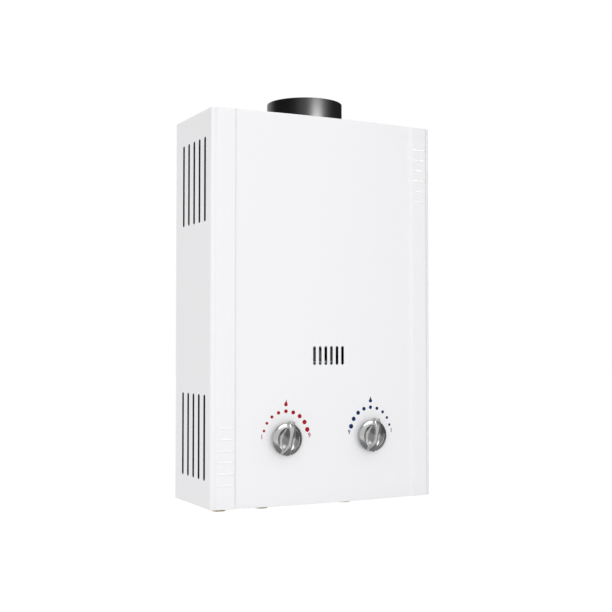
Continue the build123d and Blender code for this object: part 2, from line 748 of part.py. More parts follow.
# Burner frame: a tray that hangs under the chamber's lower lip
with BuildPart() as burner_frame:
    with BuildSketch(Plane.XY.offset(up(FRAME_BASE_H))):
        with Locations((0, -FLUE_OUT)):
            Rectangle(CHAMBER_W, CHAMBER_D)
    extrude(amount=CHAMBER_BASE_H - FRAME_BASE_H)
    with BuildSketch(Plane.XY.offset(up(CHAMBER_BASE_H - SHEET))):
        with Locations((0, -FLUE_OUT)):
            Rectangle(CHAMBER_W, CHAMBER_D + 2 * CHAMBER_LIP)
    extrude(amount=SHEET)
    with BuildSketch(Plane.XY.offset(up(FRAME_BASE_H + SHEET))):
        with Locations((0, -FLUE_OUT)):
            Rectangle(CHAMBER_W - 2 * SHEET, CHAMBER_D - 2 * SHEET)
    extrude(amount=CHAMBER_BASE_H - FRAME_BASE_H, mode=Mode.SUBTRACT)
    with BuildSketch(Plane.XY.offset(up(FRAME_BASE_H))):
        with Locations((0, -FLUE_OUT)):
            Rectangle(CHAMBER_W - 2 * CHAMBER_LIP, CHAMBER_D - 4 * CHAMBER_LIP)
    extrude(amount=SHEET, mode=Mode.SUBTRACT)
    with BuildSketch(Plane.XZ.offset(CHAMBER_FRONT_OUT - 2 * SHEET)):
        with Locations((0, up(THROAT_H))):
            with GridLocations(BAR_PITCH, BAR_PITCH, BAR_COUNT, 1):
                eight_sided(THROAT_R)
    extrude(amount=3 * SHEET, mode=Mode.SUBTRACT)
save(burner_frame, "burner_frame")

# Burner bars: slotted blades, each fed by its own throat
BAR_BASE_H = FRAME_BASE_H + SHEET
BAR_TOP_H = CHAMBER_BASE_H + BAR_PROUD
BAR_L = CHAMBER_D - 2 * SHEET - 2 * SHEET_GAP
BAR_SHOULDER_H = BAR_BASE_H + 2 * (THROAT_H - BAR_BASE_H)
with BuildPart() as burner_bars:
    for n in range(BAR_COUNT):
        bar_x = BAR_PITCH * (n - (BAR_COUNT - 1) / 2)
        with BuildSketch(Plane.XZ.offset(FLUE_OUT - BAR_L / 2)):
            with BuildLine():
                for side in (-1, 1):
                    Polyline(
                        (bar_x, up(BAR_BASE_H)),
                        (bar_x + side * BAR_W / 2, up(BAR_BASE_H)),
                        (bar_x + side * BAR_W / 2, up(BAR_SHOULDER_H - BAR_NECK_W / 2)),
                        (bar_x + side * BAR_NECK_W / 2, up(BAR_SHOULDER_H + BAR_NECK_W / 2)),
                        (bar_x + side * BAR_NECK_W / 2, up(BAR_TOP_H - BAR_HEAD_T - BAR_NECK_W / 2)),
                        (bar_x + side * BAR_HEAD_W / 2, up(BAR_TOP_H - BAR_HEAD_T)),
                        (bar_x + side * BAR_HEAD_W / 2, up(BAR_TOP_H)),
                        (bar_x, up(BAR_TOP_H)),
                    )
            make_face()
        extrude(amount=BAR_L)
    with BuildSketch(Plane.XZ.offset(FLUE_OUT + BAR_L / 2)):
        with Locations((0, up(THROAT_H))):
            with GridLocations(BAR_PITCH, BAR_PITCH, BAR_COUNT, 1):
                eight_sided(THROAT_R)
    extrude(amount=-THROAT_DEEP, mode=Mode.SUBTRACT)
    # the flame slot along the top of each bar
    with BuildSketch(Plane.XY.offset(up(BAR_TOP_H))):
        with Locations((0, -FLUE_OUT)):
            with GridLocations(BAR_PITCH, BAR_PITCH, BAR_COUNT, 1):
                Rectangle(PORT_W, BAR_L - 2 * PORT_W)
    extrude(amount=-PORT_DEEP, mode=Mode.SUBTRACT)
save(burner_bars, "burner_bars")

# Gas manifold: a square tube across the front of the burner
MANIFOLD_OUT = CHAMBER_FRONT_OUT + SHEET_GAP
MANIFOLD_BASE_H = THROAT_H - MANIFOLD_TALL / 2
with BuildPart() as gas_manifold:
    with BuildSketch(Plane.YZ.offset(-MANIFOLD_W / 2)):
        with Locations((-MANIFOLD_OUT - MANIFOLD_T / 2, up(THROAT_H))):
            Rectangle(MANIFOLD_T, MANIFOLD_TALL)
    extrude(amount=MANIFOLD_W)
    chamfer(gas_manifold.edges().filter_by(Axis.X), SHEET)
save(gas_manifold, "gas_manifold")

# Gas nozzles: one small hexagon jet for each bar
with BuildPart() as gas_nozzles:
    with BuildSketch(Plane.XZ.offset(MANIFOLD_OUT)):
        with Locations((0, up(THROAT_H))):
            with GridLocations(BAR_PITCH, BAR_PITCH, BAR_COUNT, 1):
                six_sided(NOZZLE_AF)
    extrude(amount=-NOZZLE_L)
save(gas_nozzles, "gas_nozzles")

# Ignition electrode and flame sensor, through the chamber's right side
PROBE_START_X = CHAMBER_W / 2 - PROBE_INSIDE
for probe_name, probe_out in (("ignition_electrode", SPARK_OUT), ("flame_sensor", SENSOR_OUT)):
    with BuildPart() as probe:
        with BuildSketch(Plane.YZ.offset(PROBE_START_X)):
            with Locations((-probe_out, up(PROBE_H))):
                eight_sided(PROBE_R)
        extrude(amount=PROBE_L)
        with BuildSketch(Plane.YZ.offset(PROBE_START_X)):
            with Locations((-probe_out, up(PROBE_H))):
                eight_sided(PROBE_PIN_R)
        extrude(amount=-PROBE_PIN_L)
    save(probe, probe_name)

# Bracket that clamps both electrodes to the chamber
with BuildPart() as electrode_bracket:
    with BuildSketch(Plane.YZ.offset(CHAMBER_W / 2)):
        with Locations((-(SPARK_OUT + SENSOR_OUT) / 2, up(PROBE_H))):
            Rectangle(SENSOR_OUT - SPARK_OUT + 4 * PROBE_R, 4 * PROBE_R)
        for probe_out in (SPARK_OUT, SENSOR_OUT):
            with Locations((-probe_out, up(PROBE_H))):
                eight_sided(PROBE_R + TUBE_GAP, mode=Mode.SUBTRACT)
    extrude(amount=BRACKET_T)
save(electrode_bracket, "electrode_bracket")

# Gas valve body: a cast block with a plug bore, a plunger bore, an inlet boss and an outlet arm
GAS_MIN_X = -KNOB_X - GAS_LEFT
GAS_MAX_X = -KNOB_X + GAS_RIGHT
ARM_X = GAS_MAX_X - BOSS_R
ARM_FRONT_OUT = MANIFOLD_OUT + MANIFOLD_T
with BuildPart() as gas_valve_body:
    with BuildSketch(Plane.XY.offset(up(VALVE_BASE_H))):
        with Locations(((GAS_MIN_X + GAS_MAX_X) / 2, -VALVE_OUT)):
            Rectangle(GAS_MAX_X - GAS_MIN_X, VALVE_D)
    extrude(amount=VALVE_TALL)
    chamfer(gas_valve_body.edges().filter_by(Axis.X), CAST_EDGE)
    with BuildSketch(Plane.XY.offset(up(VALVE_BASE_H))):
        with Locations((-KNOB_X, -VALVE_OUT)):
            eight_sided(BOSS_R)
    extrude(amount=-BOSS_T)
    # the arm runs forward and up to the manifold
    with BuildSketch(Plane.YZ.offset(ARM_X - BOSS_R / 2)):
        with BuildLine():
            Polyline(
                (-VALVE_OUT, up(VALVE_TOP_H - CAST_EDGE)),
                (-VALVE_OUT, up(VALVE_TOP_H - BOSS_R)),
                (-ARM_FRONT_OUT + CAST_EDGE, up(VALVE_TOP_H - BOSS_R)),
                (-ARM_FRONT_OUT, up(VALVE_TOP_H - BOSS_R + CAST_EDGE)),
                (-ARM_FRONT_OUT, up(MANIFOLD_BASE_H)),
                (-MANIFOLD_OUT, up(MANIFOLD_BASE_H)),
                (-MANIFOLD_OUT, up(VALVE_TOP_H - CAST_EDGE)),
                close=True,
            )
        make_face()
    extrude(amount=BOSS_R)
    # round bore for the tap plug
    with BuildSketch(Plane.XZ.offset(VALVE_FRONT_OUT)):
        with Locations((-KNOB_X, up(KNOB_H))):
            Circle(PLUG_R + PLUG_FIT)
    extrude(amount=-PLUG_L - GASKET_GAP, mode=Mode.SUBTRACT)
    # plunger bore from the right face
    with BuildSketch(Plane.YZ.offset(GAS_MAX_X)):
        with Locations((-VALVE_OUT, up(KNOB_H))):
            eight_sided(PLUNGER_BORE_R)
    extrude(amount=-PLUNGER_BORE_L, mode=Mode.SUBTRACT)
save(gas_valve_body, "gas_valve_body")

# Tap plug: turns with the gas spindle, and its cross port opens and closes the gas way
with BuildPart() as gas_tap_plug:
    with BuildSketch(Plane.XZ.offset(VALVE_FRONT_OUT - PLUG_L)):
        with Locations((-KNOB_X, up(KNOB_H))):
            Circle(PLUG_R)
    extrude(amount=PLUG_L)
save(gas_tap_plug, "gas_tap_plug")

# Water valve body: a cast block with a diaphragm flange on its left and an outlet on its right
WATER_MIN_X = KNOB_X - WATER_LEFT
WATER_MAX_X = KNOB_X + WATER_RIGHT
CHEST_X = WATER_MIN_X - DISC_RIM
OUTLET_R = TUBE_R + OUTLET_WALL
with BuildPart() as water_valve_body:
    with BuildSketch(Plane.XY.offset(up(VALVE_BASE_H))):
        with Locations(((WATER_MIN_X + WATER_MAX_X) / 2, -VALVE_OUT)):
            Rectangle(WATER_MAX_X - WATER_MIN_X, VALVE_D)
    extrude(amount=VALVE_TALL)
    chamfer(water_valve_body.edges().filter_by(Axis.X), CAST_EDGE)
    with BuildSketch(Plane.YZ.offset(CHEST_X)):
        with Locations((-VALVE_OUT, up(KNOB_H))):
            eight_sided(DISC_R)
    extrude(amount=DISC_RIM)
    with BuildSketch(Plane.YZ.offset(CHEST_X)):
        with Locations((-VALVE_OUT, up(KNOB_H))):
            eight_sided(CHEST_R)
    extrude(amount=CHEST_DEEP, mode=Mode.SUBTRACT)
    with BuildSketch(Plane.XY.offset(up(VALVE_BASE_H))):
        with Locations((KNOB_X, -VALVE_OUT)):
            eight_sided(BOSS_R)
    extrude(amount=-BOSS_T)
    # outlet under the riser of the water tube
    with BuildSketch(Plane.XY.offset(up(KNOB_H - OUTLET_R))):
        with Locations(((WATER_MAX_X + WRAP_X) / 2, -VALVE_OUT)):
            Rectangle(WRAP_X - WATER_MAX_X, 2 * OUTLET_R)
        with Locations((WRAP_X, -VALVE_OUT)):
            eight_sided(OUTLET_R)
    extrude(amount=RISER_BASE_H - KNOB_H + OUTLET_R)
    # drain leg
    with BuildSketch(Plane.XY.offset(up(VALVE_BASE_H))):
        with Locations((DRAIN_X, -VALVE_OUT)):
            six_sided(2 * DRAIN_R)
    extrude(amount=-(VALVE_BASE_H - DRAIN_LEG_H))
    with BuildSketch(Plane.XY.offset(up(DRAIN_LEG_H))):
        with Locations((DRAIN_X, -VALVE_OUT)):
            Circle(DRAIN_SHANK_R + DRAIN_FIT)
    extrude(amount=DRAIN_SHANK_L + GASKET_GAP, mode=Mode.SUBTRACT)
    # spindle seat
    with BuildSketch(Plane.XZ.offset(VALVE_FRONT_OUT)):
        with Locations((KNOB_X, up(KNOB_H))):
            Circle(SPINDLE_R + SPINDLE_FIT)
    extrude(amount=-SEAT_L, mode=Mode.SUBTRACT)
save(water_valve_body, "water_valve_body")

# Diaphragm cover: the left half of the chest, with a neck for the rod
COVER_MIN_X = CHEST_X - DIAPHRAGM_T - DISC_RIM
NECK_END_X = COVER_MIN_X - DISC_RIM
with BuildPart() as diaphragm_cover:
    with BuildSketch(Plane.YZ.offset(COVER_MIN_X)):
        with Locations((-VALVE_OUT, up(KNOB_H))):
            eight_sided(DISC_R)
    extrude(amount=DISC_RIM)
    with BuildSketch(Plane.YZ.offset(NECK_END_X)):
        with Locations((-VALVE_OUT, up(KNOB_H))):
            eight_sided(BRIDGE_NECK_R)
    extrude(amount=DISC_RIM)
    with BuildSketch(Plane.YZ.offset(COVER_MIN_X + DISC_RIM - CHEST_DEEP)):
        with Locations((-VALVE_OUT, up(KNOB_H))):
            eight_sided(CHEST_R)
    extrude(amount=CHEST_DEEP, mode=Mode.SUBTRACT)
    with BuildSketch(Plane.YZ.offset(NECK_END_X)):
        with Locations((-VALVE_OUT, up(KNOB_H))):
            Circle(ROD_R + ROD_FIT)
    extrude(amount=2 * DISC_RIM, mode=Mode.SUBTRACT)
save(diaphragm_cover, "diaphragm_cover")

# Diaphragm: rubber clamped between the two halves, with the rod's plate in its eye
with BuildPart() as diaphragm:
    with BuildSketch(Plane.YZ.offset(CHEST_X - DIAPHRAGM_T)):
        with Locations((-VALVE_OUT, up(KNOB_H))):
            eight_sided(DISC_R)
            eight_sided(DIAPHRAGM_EYE_R, mode=Mode.SUBTRACT)
    extrude(amount=DIAPHRAGM_T)
save(diaphragm, "diaphragm")

# Push rod: plate, rod and the collar that presses the switch's button
PLUNGER_MAX_X = GAS_MAX_X - BRIDGE_T
PLATE_MIN_X = CHEST_X - DIAPHRAGM_T / 2 - PLATE_T / 2
COLLAR_MIN_X = (GAS_MAX_X + NECK_END_X) / 2 + COLLAR_DISC_OFF
with BuildPart() as push_rod:
    with BuildSketch(Plane.YZ.offset(PLUNGER_MAX_X)):
        with Locations((-VALVE_OUT, up(KNOB_H))):
            Circle(ROD_R)
    extrude(amount=PLATE_MIN_X - PLUNGER_MAX_X)
    with BuildSketch(Plane.YZ.offset(PLATE_MIN_X)):
        with Locations((-VALVE_OUT, up(KNOB_H))):
            eight_sided(DIAPHRAGM_EYE_R - GASKET_GAP)
    extrude(amount=PLATE_T)
    with BuildSketch(Plane.YZ.offset(COLLAR_MIN_X)):
        with Locations((-VALVE_OUT, up(KNOB_H))):
            eight_sided(COLLAR_DISC_R)
    extrude(amount=COLLAR_DISC_T)
save(push_rod, "push_rod")

# Gas plunger: lifted off its seat by the rod
with BuildPart() as gas_plunger:
    with BuildSketch(Plane.YZ.offset(PLUNGER_MAX_X)):
        with Locations((-VALVE_OUT, up(KNOB_H))):
            eight_sided(PLUNGER_R)
    extrude(amount=-PLUNGER_T)
    with BuildSketch(Plane.YZ.offset(PLUNGER_MAX_X - PLUNGER_T)):
        with Locations((-VALVE_OUT, up(KNOB_H))):
            eight_sided(ROD_R)
    extrude(amount=-PLUNGER_T)
save(gas_plunger, "gas_plunger")

# Bridge: ties the gas valve to the water valve and carries the microswitch
BRIDGE_D = VALVE_D - 2 * BRIDGE_T
with BuildPart() as valve_bridge:
    with BuildSketch(Plane.XZ.offset(VALVE_OUT - BRIDGE_D / 2)):
        with BuildLine():
            Polyline(
                (GAS_MAX_X, up(VALVE_TOP_H - BRIDGE_T)),
                (GAS_MAX_X, up(VALVE_BASE_H)),
                (NECK_END_X, up(VALVE_BASE_H)),
                (NECK_END_X, up(VALVE_TOP_H - BRIDGE_T)),
                (NECK_END_X - BRIDGE_T, up(VALVE_TOP_H - BRIDGE_T)),
                (NECK_END_X - BRIDGE_T, up(VALVE_BASE_H + BRIDGE_T)),
                (GAS_MAX_X + BRIDGE_T, up(VALVE_BASE_H + BRIDGE_T)),
                (GAS_MAX_X + BRIDGE_T, up(VALVE_TOP_H - BRIDGE_T)),
                close=True,
            )
        make_face()
    extrude(amount=BRIDGE_D)
    with BuildSketch(Plane.YZ.offset(GAS_MAX_X)):
        with Locations((-VALVE_OUT, up(KNOB_H))):
            eight_sided(ROD_R + GASKET_GAP)
    extrude(amount=NECK_END_X - GAS_MAX_X, mode=Mode.SUBTRACT)
save(valve_bridge, "valve_bridge")

# Microswitch on the bridge, and the button that the rod's collar presses
SWITCH_MIN_X = GAS_MAX_X + BRIDGE_T + GASKET_GAP
BUTTON_MAX_X = COLLAR_MIN_X - GASKET_GAP
BUTTON_MIN_X = SWITCH_MIN_X + SWITCH_T - BUTTON_HELD
with BuildPart() as microswitch:
    with BuildSketch(Plane.XY.offset(up(VALVE_BASE_H + BRIDGE_T))):
        with Locations((SWITCH_MIN_X + SWITCH_T / 2, -SWITCH_OUT)):
            Rectangle(SWITCH_T, SWITCH_D)
    extrude(amount=SWITCH_TALL)
    with BuildSketch(Plane.YZ.offset(SWITCH_MIN_X + SWITCH_WALL)):
        with Locations((-BUTTON_OUT, up(KNOB_H))):
            Rectangle(BUTTON_W + 2 * GASKET_GAP, BUTTON_W + 2 * GASKET_GAP)
    extrude(amount=SWITCH_T, mode=Mode.SUBTRACT)
save(microswitch, "microswitch")

with BuildPart() as switch_button:
    with BuildSketch(Plane.YZ.offset(BUTTON_MIN_X)):
        with Locations((-BUTTON_OUT, up(KNOB_H))):
            Rectangle(BUTTON_W, BUTTON_W)
    extrude(amount=BUTTON_MAX_X - BUTTON_MIN_X)
save(switch_button, "switch_button")

# Spindle bonnets: one screwed to each valve
for bonnet_name, x in (("gas_bonnet", -KNOB_X), ("water_bonnet", KNOB_X)):
    with BuildPart() as bonnet:
        with BuildSketch(Plane.XZ.offset(VALVE_FRONT_OUT)):
            with Locations((x, up(KNOB_H))):
                Rectangle(BONNET_W, BONNET_W)
        extrude(amount=BONNET_T)
        with BuildSketch(Plane.XZ.offset(VALVE_FRONT_OUT)):
            with Locations((x, up(KNOB_H))):
                six_sided(2 * BONNET_R)
        extrude(amount=BONNET_L)
        with BuildSketch(Plane.XZ.offset(VALVE_FRONT_OUT)):
            with Locations((x, up(KNOB_H))):
                Circle(SPINDLE_R + SPINDLE_FIT)
        extrude(amount=BONNET_L, mode=Mode.SUBTRACT)
    save(bonnet, bonnet_name)

# Spindles: from each valve through the cover into its knob
KNOB_BACK_OUT = front_out(KNOB_X) + KNOB_GAP
SPINDLE_END_OUT = KNOB_BACK_OUT + KNOB_BORE_L
for spindle_name, x, start_out in (
    ("gas_spindle", -KNOB_X, VALVE_FRONT_OUT),
    ("water_spindle", KNOB_X, VALVE_FRONT_OUT - SEAT_L + GASKET_GAP),
):
    with BuildPart() as spindle:
        with BuildSketch(Plane.XZ.offset(start_out)):
            with Locations((x, up(KNOB_H))):
                Circle(SPINDLE_R)
        extrude(amount=SPINDLE_END_OUT - start_out)
    save(spindle, spindle_name)

# Knobs: a round body on a narrower neck, with a lip and two scoops that leave a waisted grip
# with a pointer nub
SCOOP_RIM_R = KNOB_R - KNOB_LIP
KNOB_ACROSS = (cos(radians(KNOB_TURN)), 0, -sin(radians(KNOB_TURN)))


def grip_outline(end_w, waist_w, reach):
    """A bar along Y with hollow sides, narrow in the middle."""
    with BuildSketch() as outline:
        with BuildLine():
            for side in (-1, 1):
                ThreePointArc(
                    (side * end_w / 2, -reach),
                    (side * waist_w / 2, 0),
                    (side * end_w / 2, reach),
                )
            for end in (-1, 1):
                Line((-end_w / 2, end * reach), (end_w / 2, end * reach))
        make_face()
    return outline.sketch


for knob_name, x in (("gas_knob", -KNOB_X), ("water_knob", KNOB_X)):
    knob_plane = Plane(origin=(x, -KNOB_BACK_OUT, up(KNOB_H)), x_dir=KNOB_ACROSS, z_dir=(0, -1, 0))
    with BuildPart() as control_knob:
        with BuildSketch(knob_plane):
            RegularPolygon(KNOB_NECK_R, SCOOP_SIDES)
        extrude(amount=KNOB_NECK_T)
        with BuildSketch(knob_plane.offset(KNOB_NECK_T)):
            Circle(KNOB_R)
        extrude(amount=KNOB_DISC_T - KNOB_NECK_T)
        # scoops on both sides of the grip, inside the lip
        with BuildSketch(knob_plane.offset(KNOB_DISC_T)):
            RegularPolygon(SCOOP_RIM_R, SCOOP_SIDES)
            add(grip_outline(GRIP_END_W, GRIP_WAIST_W, KNOB_R), mode=Mode.SUBTRACT)
        extrude(amount=-SCOOP_DEEP, mode=Mode.SUBTRACT)
        # the grip rises from the floor of the scoops
        with BuildSketch(knob_plane.offset(KNOB_DISC_T)):
            add(grip_outline(GRIP_END_W, GRIP_WAIST_W, GRIP_REACH))
        extrude(amount=KNOB_TALL - KNOB_DISC_T)
        crown = control_knob.faces().sort_by(Axis.Y)[0]
        chamfer(crown.edges().filter_by(GeomType.LINE), KNOB_TALL - KNOB_DISC_T - GRIP_EDGE, GRIP_SLOPE)
        with BuildSketch(knob_plane.offset(KNOB_DISC_T - NUB_T)):
            with Locations((0, KNOB_R - NUB_W / 2 + NUB_PROUD)):
                Rectangle(NUB_W, NUB_W)
        extrude(amount=NUB_T + NUB_LIFT)
        with BuildSketch(knob_plane):
            Circle(SPINDLE_R + SPINDLE_FIT)
        extrude(amount=KNOB_BORE_L + GASKET_GAP, mode=Mode.SUBTRACT)
    save(control_knob, knob_name)

# Solenoid on the gas valve: coil housing and moving core
with BuildPart() as solenoid_coil:
    with BuildSketch(Plane.XY.offset(up(VALVE_TOP_H))):
        with Locations((-SOLENOID_X, -VALVE_OUT)):
            eight_sided(SOLENOID_R)
    extrude(amount=SOLENOID_TALL)
    with BuildSketch(Plane.XY.offset(up(VALVE_TOP_H))):
        with Locations((-SOLENOID_X, -VALVE_OUT)):
            eight_sided(CORE_R + GASKET_GAP)
    extrude(amount=SOLENOID_TALL - SOLENOID_WALL, mode=Mode.SUBTRACT)
save(solenoid_coil, "solenoid_coil")

with BuildPart() as solenoid_core:
    with BuildSketch(Plane.XY.offset(up(VALVE_TOP_H + GASKET_GAP))):
        with Locations((-SOLENOID_X, -VALVE_OUT)):
            eight_sided(CORE_R)
    extrude(amount=CORE_L)
save(solenoid_core, "solenoid_core")

# Connections: threaded ends below the casing and a long hexagon above the plate
FITTING_TOPS = {
    "hot_outlet": HOT_OUTLET_TOP_H,
    "gas_inlet": BOSS_BASE_H,
    "cold_inlet": BOSS_BASE_H,
}
for fitting_name, fitting_x in FITTING_X.items():
    with BuildPart() as fitting:
        with BuildSketch(Plane.XY.offset(up(-FITTING_DROP))):
            with Locations((fitting_x, -VALVE_OUT)):
                Circle(THREAD_R)
        extrude(amount=FITTING_DROP + BOTTOM_TOP_H)
        with BuildSketch(Plane.XY.offset(up(BOTTOM_TOP_H))):
            with Locations((fitting_x, -VALVE_OUT)):
                six_sided(FITTING_HEX_AF)
        extrude(amount=FITTING_TOPS[fitting_name] - BOTTOM_TOP_H)
        with BuildSketch(Plane.XY.offset(up(-FITTING_DROP))):
            with Locations((fitting_x, -VALVE_OUT)):
                eight_sided(THREAD_BORE_R)
        extrude(amount=FITTING_DROP + FITTING_BORE_H, mode=Mode.SUBTRACT)
    save(fitting, fitting_name)

# Drain screw: a wing screw in the drain leg
with BuildPart() as drain_screw:
    with BuildSketch(Plane.XY.offset(up(DRAIN_LEG_H - GASKET_GAP))):
        with Locations((DRAIN_X, -VALVE_OUT)):
            Circle(DRAIN_SHANK_R)
    extrude(amount=DRAIN_SHANK_L)
    with BuildSketch(Plane.XY.offset(up(DRAIN_LEG_H - GASKET_GAP))):
        with Locations((DRAIN_X, -VALVE_OUT)):
            six_sided(2 * DRAIN_R)
    extrude(amount=-DRAIN_HEAD_T)
    with BuildSketch(Plane.XY.offset(up(DRAIN_LEG_H - GASKET_GAP - DRAIN_HEAD_T))):
        with Locations((DRAIN_X, -VALVE_OUT)):
            Rectangle(DRAIN_WING_L, DRAIN_WING_T)
    extrude(amount=-DRAIN_WING_TALL)
save(drain_screw, "drain_screw")

# Battery box for two D cells, open below
BOX_TOP_H = BOTTOM_TOP_H + BOX_IN_TALL + BOX_WALL
HINGE_OUT = BOX_OUT - BOX_D / 2 + BOX_WALL
HINGE_H = BOTTOM_TOP_H - GASKET_GAP - DOOR_T / 2
with BuildPart() as battery_box:
    with BuildSketch(Plane.XY.offset(up(BOTTOM_TOP_H))):
        with Locations((0, -BOX_OUT)):
            Rectangle(BOX_L, BOX_D)
    extrude(amount=BOX_TOP_H - BOTTOM_TOP_H)
    with BuildSketch(Plane.XY.offset(up(BOTTOM_TOP_H))):
        with Locations((0, -BOX_OUT)):
            Rectangle(BOX_L + 2 * BOX_RIM, BOX_D + 2 * BOX_RIM)
    extrude(amount=BOX_WALL)
    with BuildSketch(Plane.XY.offset(up(BOTTOM_TOP_H))):
        with Locations((0, -BOX_OUT)):
            Rectangle(BOX_IN_L, BOX_IN_D)
    extrude(amount=BOX_IN_TALL, mode=Mode.SUBTRACT)
    # a lug at each end of the rear wall holds the door pin
    for side in (-1, 1):
        with BuildSketch(Plane.XY.offset(up(BOTTOM_TOP_H))):
            with Locations((side * (BOX_L - BOX_WALL) / 2, -HINGE_OUT)):
                Rectangle(BOX_WALL, 2 * BOX_WALL)
        extrude(amount=-HINGE_LUG)
    with BuildSketch(Plane.YZ.offset(-BOX_L / 2)):
        with Locations((-HINGE_OUT, up(HINGE_H))):
            eight_sided(HINGE_PIN_R + HINGE_FIT)
    extrude(amount=BOX_L, mode=Mode.SUBTRACT)
save(battery_box, "battery_box")

# Two D cells side by side
CELL_H = BOTTOM_TOP_H + BOX_IN_TALL / 2
with BuildPart() as battery_cells:
    with BuildSketch(Plane.YZ.offset(-CELL_L / 2)):
        with Locations((-BOX_OUT, up(CELL_H))):
            with GridLocations(2 * CELL_R + CELL_GAP, CELL_R, 2, 1):
                RegularPolygon(CELL_R, CELL_SIDES)
    extrude(amount=CELL_L)
save(battery_cells, "battery_cells")

# Contacts: two plates on the box's end walls
with BuildPart() as battery_contacts:
    with BuildSketch(Plane.XY.offset(up(CELL_H - CONTACT_TALL / 2))):
        with Locations((0, -BOX_OUT)):
            with GridLocations(BOX_IN_L - CONTACT_T, CONTACT_T, 2, 1):
                Rectangle(CONTACT_T, BOX_IN_D / 2)
    extrude(amount=CONTACT_TALL)
save(battery_contacts, "battery_contacts")

# Battery door: drops open on a pin along its rear edge
DOOR_L = BOX_L - 2 * BOX_WALL - 2 * DOOR_GAP
DOOR_FRONT_OUT = BOX_OUT + BOX_D / 2 - DOOR_GAP
with BuildPart() as battery_door:
    with BuildSketch(Plane.YZ.offset(-DOOR_L / 2)):
        with Locations((-(HINGE_OUT + DOOR_FRONT_OUT) / 2, up(HINGE_H))):
            Rectangle(DOOR_FRONT_OUT - HINGE_OUT, DOOR_T)
        with Locations((-HINGE_OUT, up(HINGE_H))):
            Circle(DOOR_T / 2)
            Circle(HINGE_PIN_R + HINGE_FIT, mode=Mode.SUBTRACT)
    extrude(amount=DOOR_L)
save(battery_door, "battery_door")

with BuildPart() as door_pin:
    with BuildSketch(Plane.YZ.offset(-BOX_L / 2)):
        with Locations((-HINGE_OUT, up(HINGE_H))):
            Circle(HINGE_PIN_R)
    extrude(amount=BOX_L)
save(door_pin, "door_pin")

# Igniter module on the back plate
with BuildPart() as igniter_module:
    with BuildSketch(Plane.XY.offset(up(MODULE_H))):
        with Locations((MODULE_X, -SHEET - MODULE_D / 2)):
            Rectangle(MODULE_W, MODULE_D)
    extrude(amount=MODULE_TALL)
    chamfer(igniter_module.faces().sort_by(Axis.Y)[0].edges(), MODULE_EDGE)
save(igniter_module, "igniter_module")

# Leads: from the igniter module to both electrodes, the switch, the solenoid and the cells
MODULE_TOP_H = MODULE_H + MODULE_TALL
MODULE_LEFT_X = MODULE_X - MODULE_W / 2
HIGH_LEAD_H = MODULE_TOP_H + HIGH_LEAD_RISE
PROBE_END_X = PROBE_START_X + PROBE_L
SWITCH_LEAD_X = SWITCH_MIN_X + SWITCH_T / 2
SWITCH_TOP_H = VALVE_BASE_H + BRIDGE_T + SWITCH_TALL
SWITCH_LEAD_H = MODULE_TOP_H - SWITCH_LEAD_DROP
SOLENOID_LEAD_H = MODULE_TOP_H - SOLENOID_LEAD_DROP
BATTERY_LEAD_H = BOX_TOP_H + BATTERY_LEAD_RISE
HINGE_SIDE_OUT = HINGE_OUT + 2 * BOX_WALL
leads = {
    "switch_lead": [
        (SWITCH_LEAD_X, SWITCH_OUT, SWITCH_TOP_H),
        (SWITCH_LEAD_X, SWITCH_OUT, SWITCH_LEAD_H),
        (SWITCH_LEAD_X, SWITCH_LEAD_OUT, SWITCH_LEAD_H),
        (MODULE_LEFT_X, SWITCH_LEAD_OUT, SWITCH_LEAD_H),
    ],
    "solenoid_lead": [
        (-SOLENOID_X, VALVE_OUT - SOLENOID_R, SOLENOID_LEAD_H),
        (-SOLENOID_X, SOLENOID_LEAD_OUT, SOLENOID_LEAD_H),
        (MODULE_LEFT_X, SOLENOID_LEAD_OUT, SOLENOID_LEAD_H),
    ],
    "battery_lead": [
        (BATTERY_LEAD_X, HINGE_SIDE_OUT, BOX_TOP_H),
        (BATTERY_LEAD_X, HINGE_SIDE_OUT, BATTERY_LEAD_H),
        (BATTERY_LEAD_X, BATTERY_LEAD_OUT, BATTERY_LEAD_H),
        (MODULE_X, BATTERY_LEAD_OUT, BATTERY_LEAD_H),
        (MODULE_X, BATTERY_LEAD_OUT, MODULE_H),
    ],
}
for n, (probe_name, probe_out) in enumerate((("ignition", SPARK_OUT), ("sensor", SENSOR_OUT))):
    lead_x = PROBE_END_X + HIGH_LEAD_ROOM + n * HIGH_LEAD_SPACING
    leads[f"{probe_name}_lead"] = [
        (lead_x, HIGH_LEAD_OUT, MODULE_TOP_H),
        (lead_x, HIGH_LEAD_OUT, HIGH_LEAD_H),
        (lead_x, probe_out, HIGH_LEAD_H),
        (lead_x, probe_out, PROBE_H),
        (PROBE_END_X, probe_out, PROBE_H),
    ]
for lead_name, places in leads.items():
    with BuildPart() as lead:
        with BuildLine() as lead_line:
            Polyline(*mitred((places[0], places[-1]), [(*place, LEAD_BEND) for place in places[1:-1]]))
        with BuildSketch(Plane(origin=lead_line.line @ 0, z_dir=lead_line.line % 0)):
            six_sided(2 * LEAD_R)
        sweep(transition=Transition.RIGHT)
    save(lead, lead_name)

# Thermostats: one on the chamber's front above the burner, one on the hood's band
FLUE_SWITCH_H = CHAMBER_TOP_H + HOOD_BAND / 2
with BuildPart() as overheat_thermostat:
    with BuildSketch(Plane.XZ.offset(CHAMBER_FRONT_OUT)):
        with Locations((OVERHEAT_X, up(OVERHEAT_H))):
            Rectangle(EAR_L, EAR_W)
    extrude(amount=SHEET)
    with BuildSketch(Plane.XZ.offset(CHAMBER_FRONT_OUT)):
        with Locations((OVERHEAT_X, up(OVERHEAT_H))):
            eight_sided(THERMOSTAT_R)
    extrude(amount=THERMOSTAT_T)
save(overheat_thermostat, "overheat_thermostat")

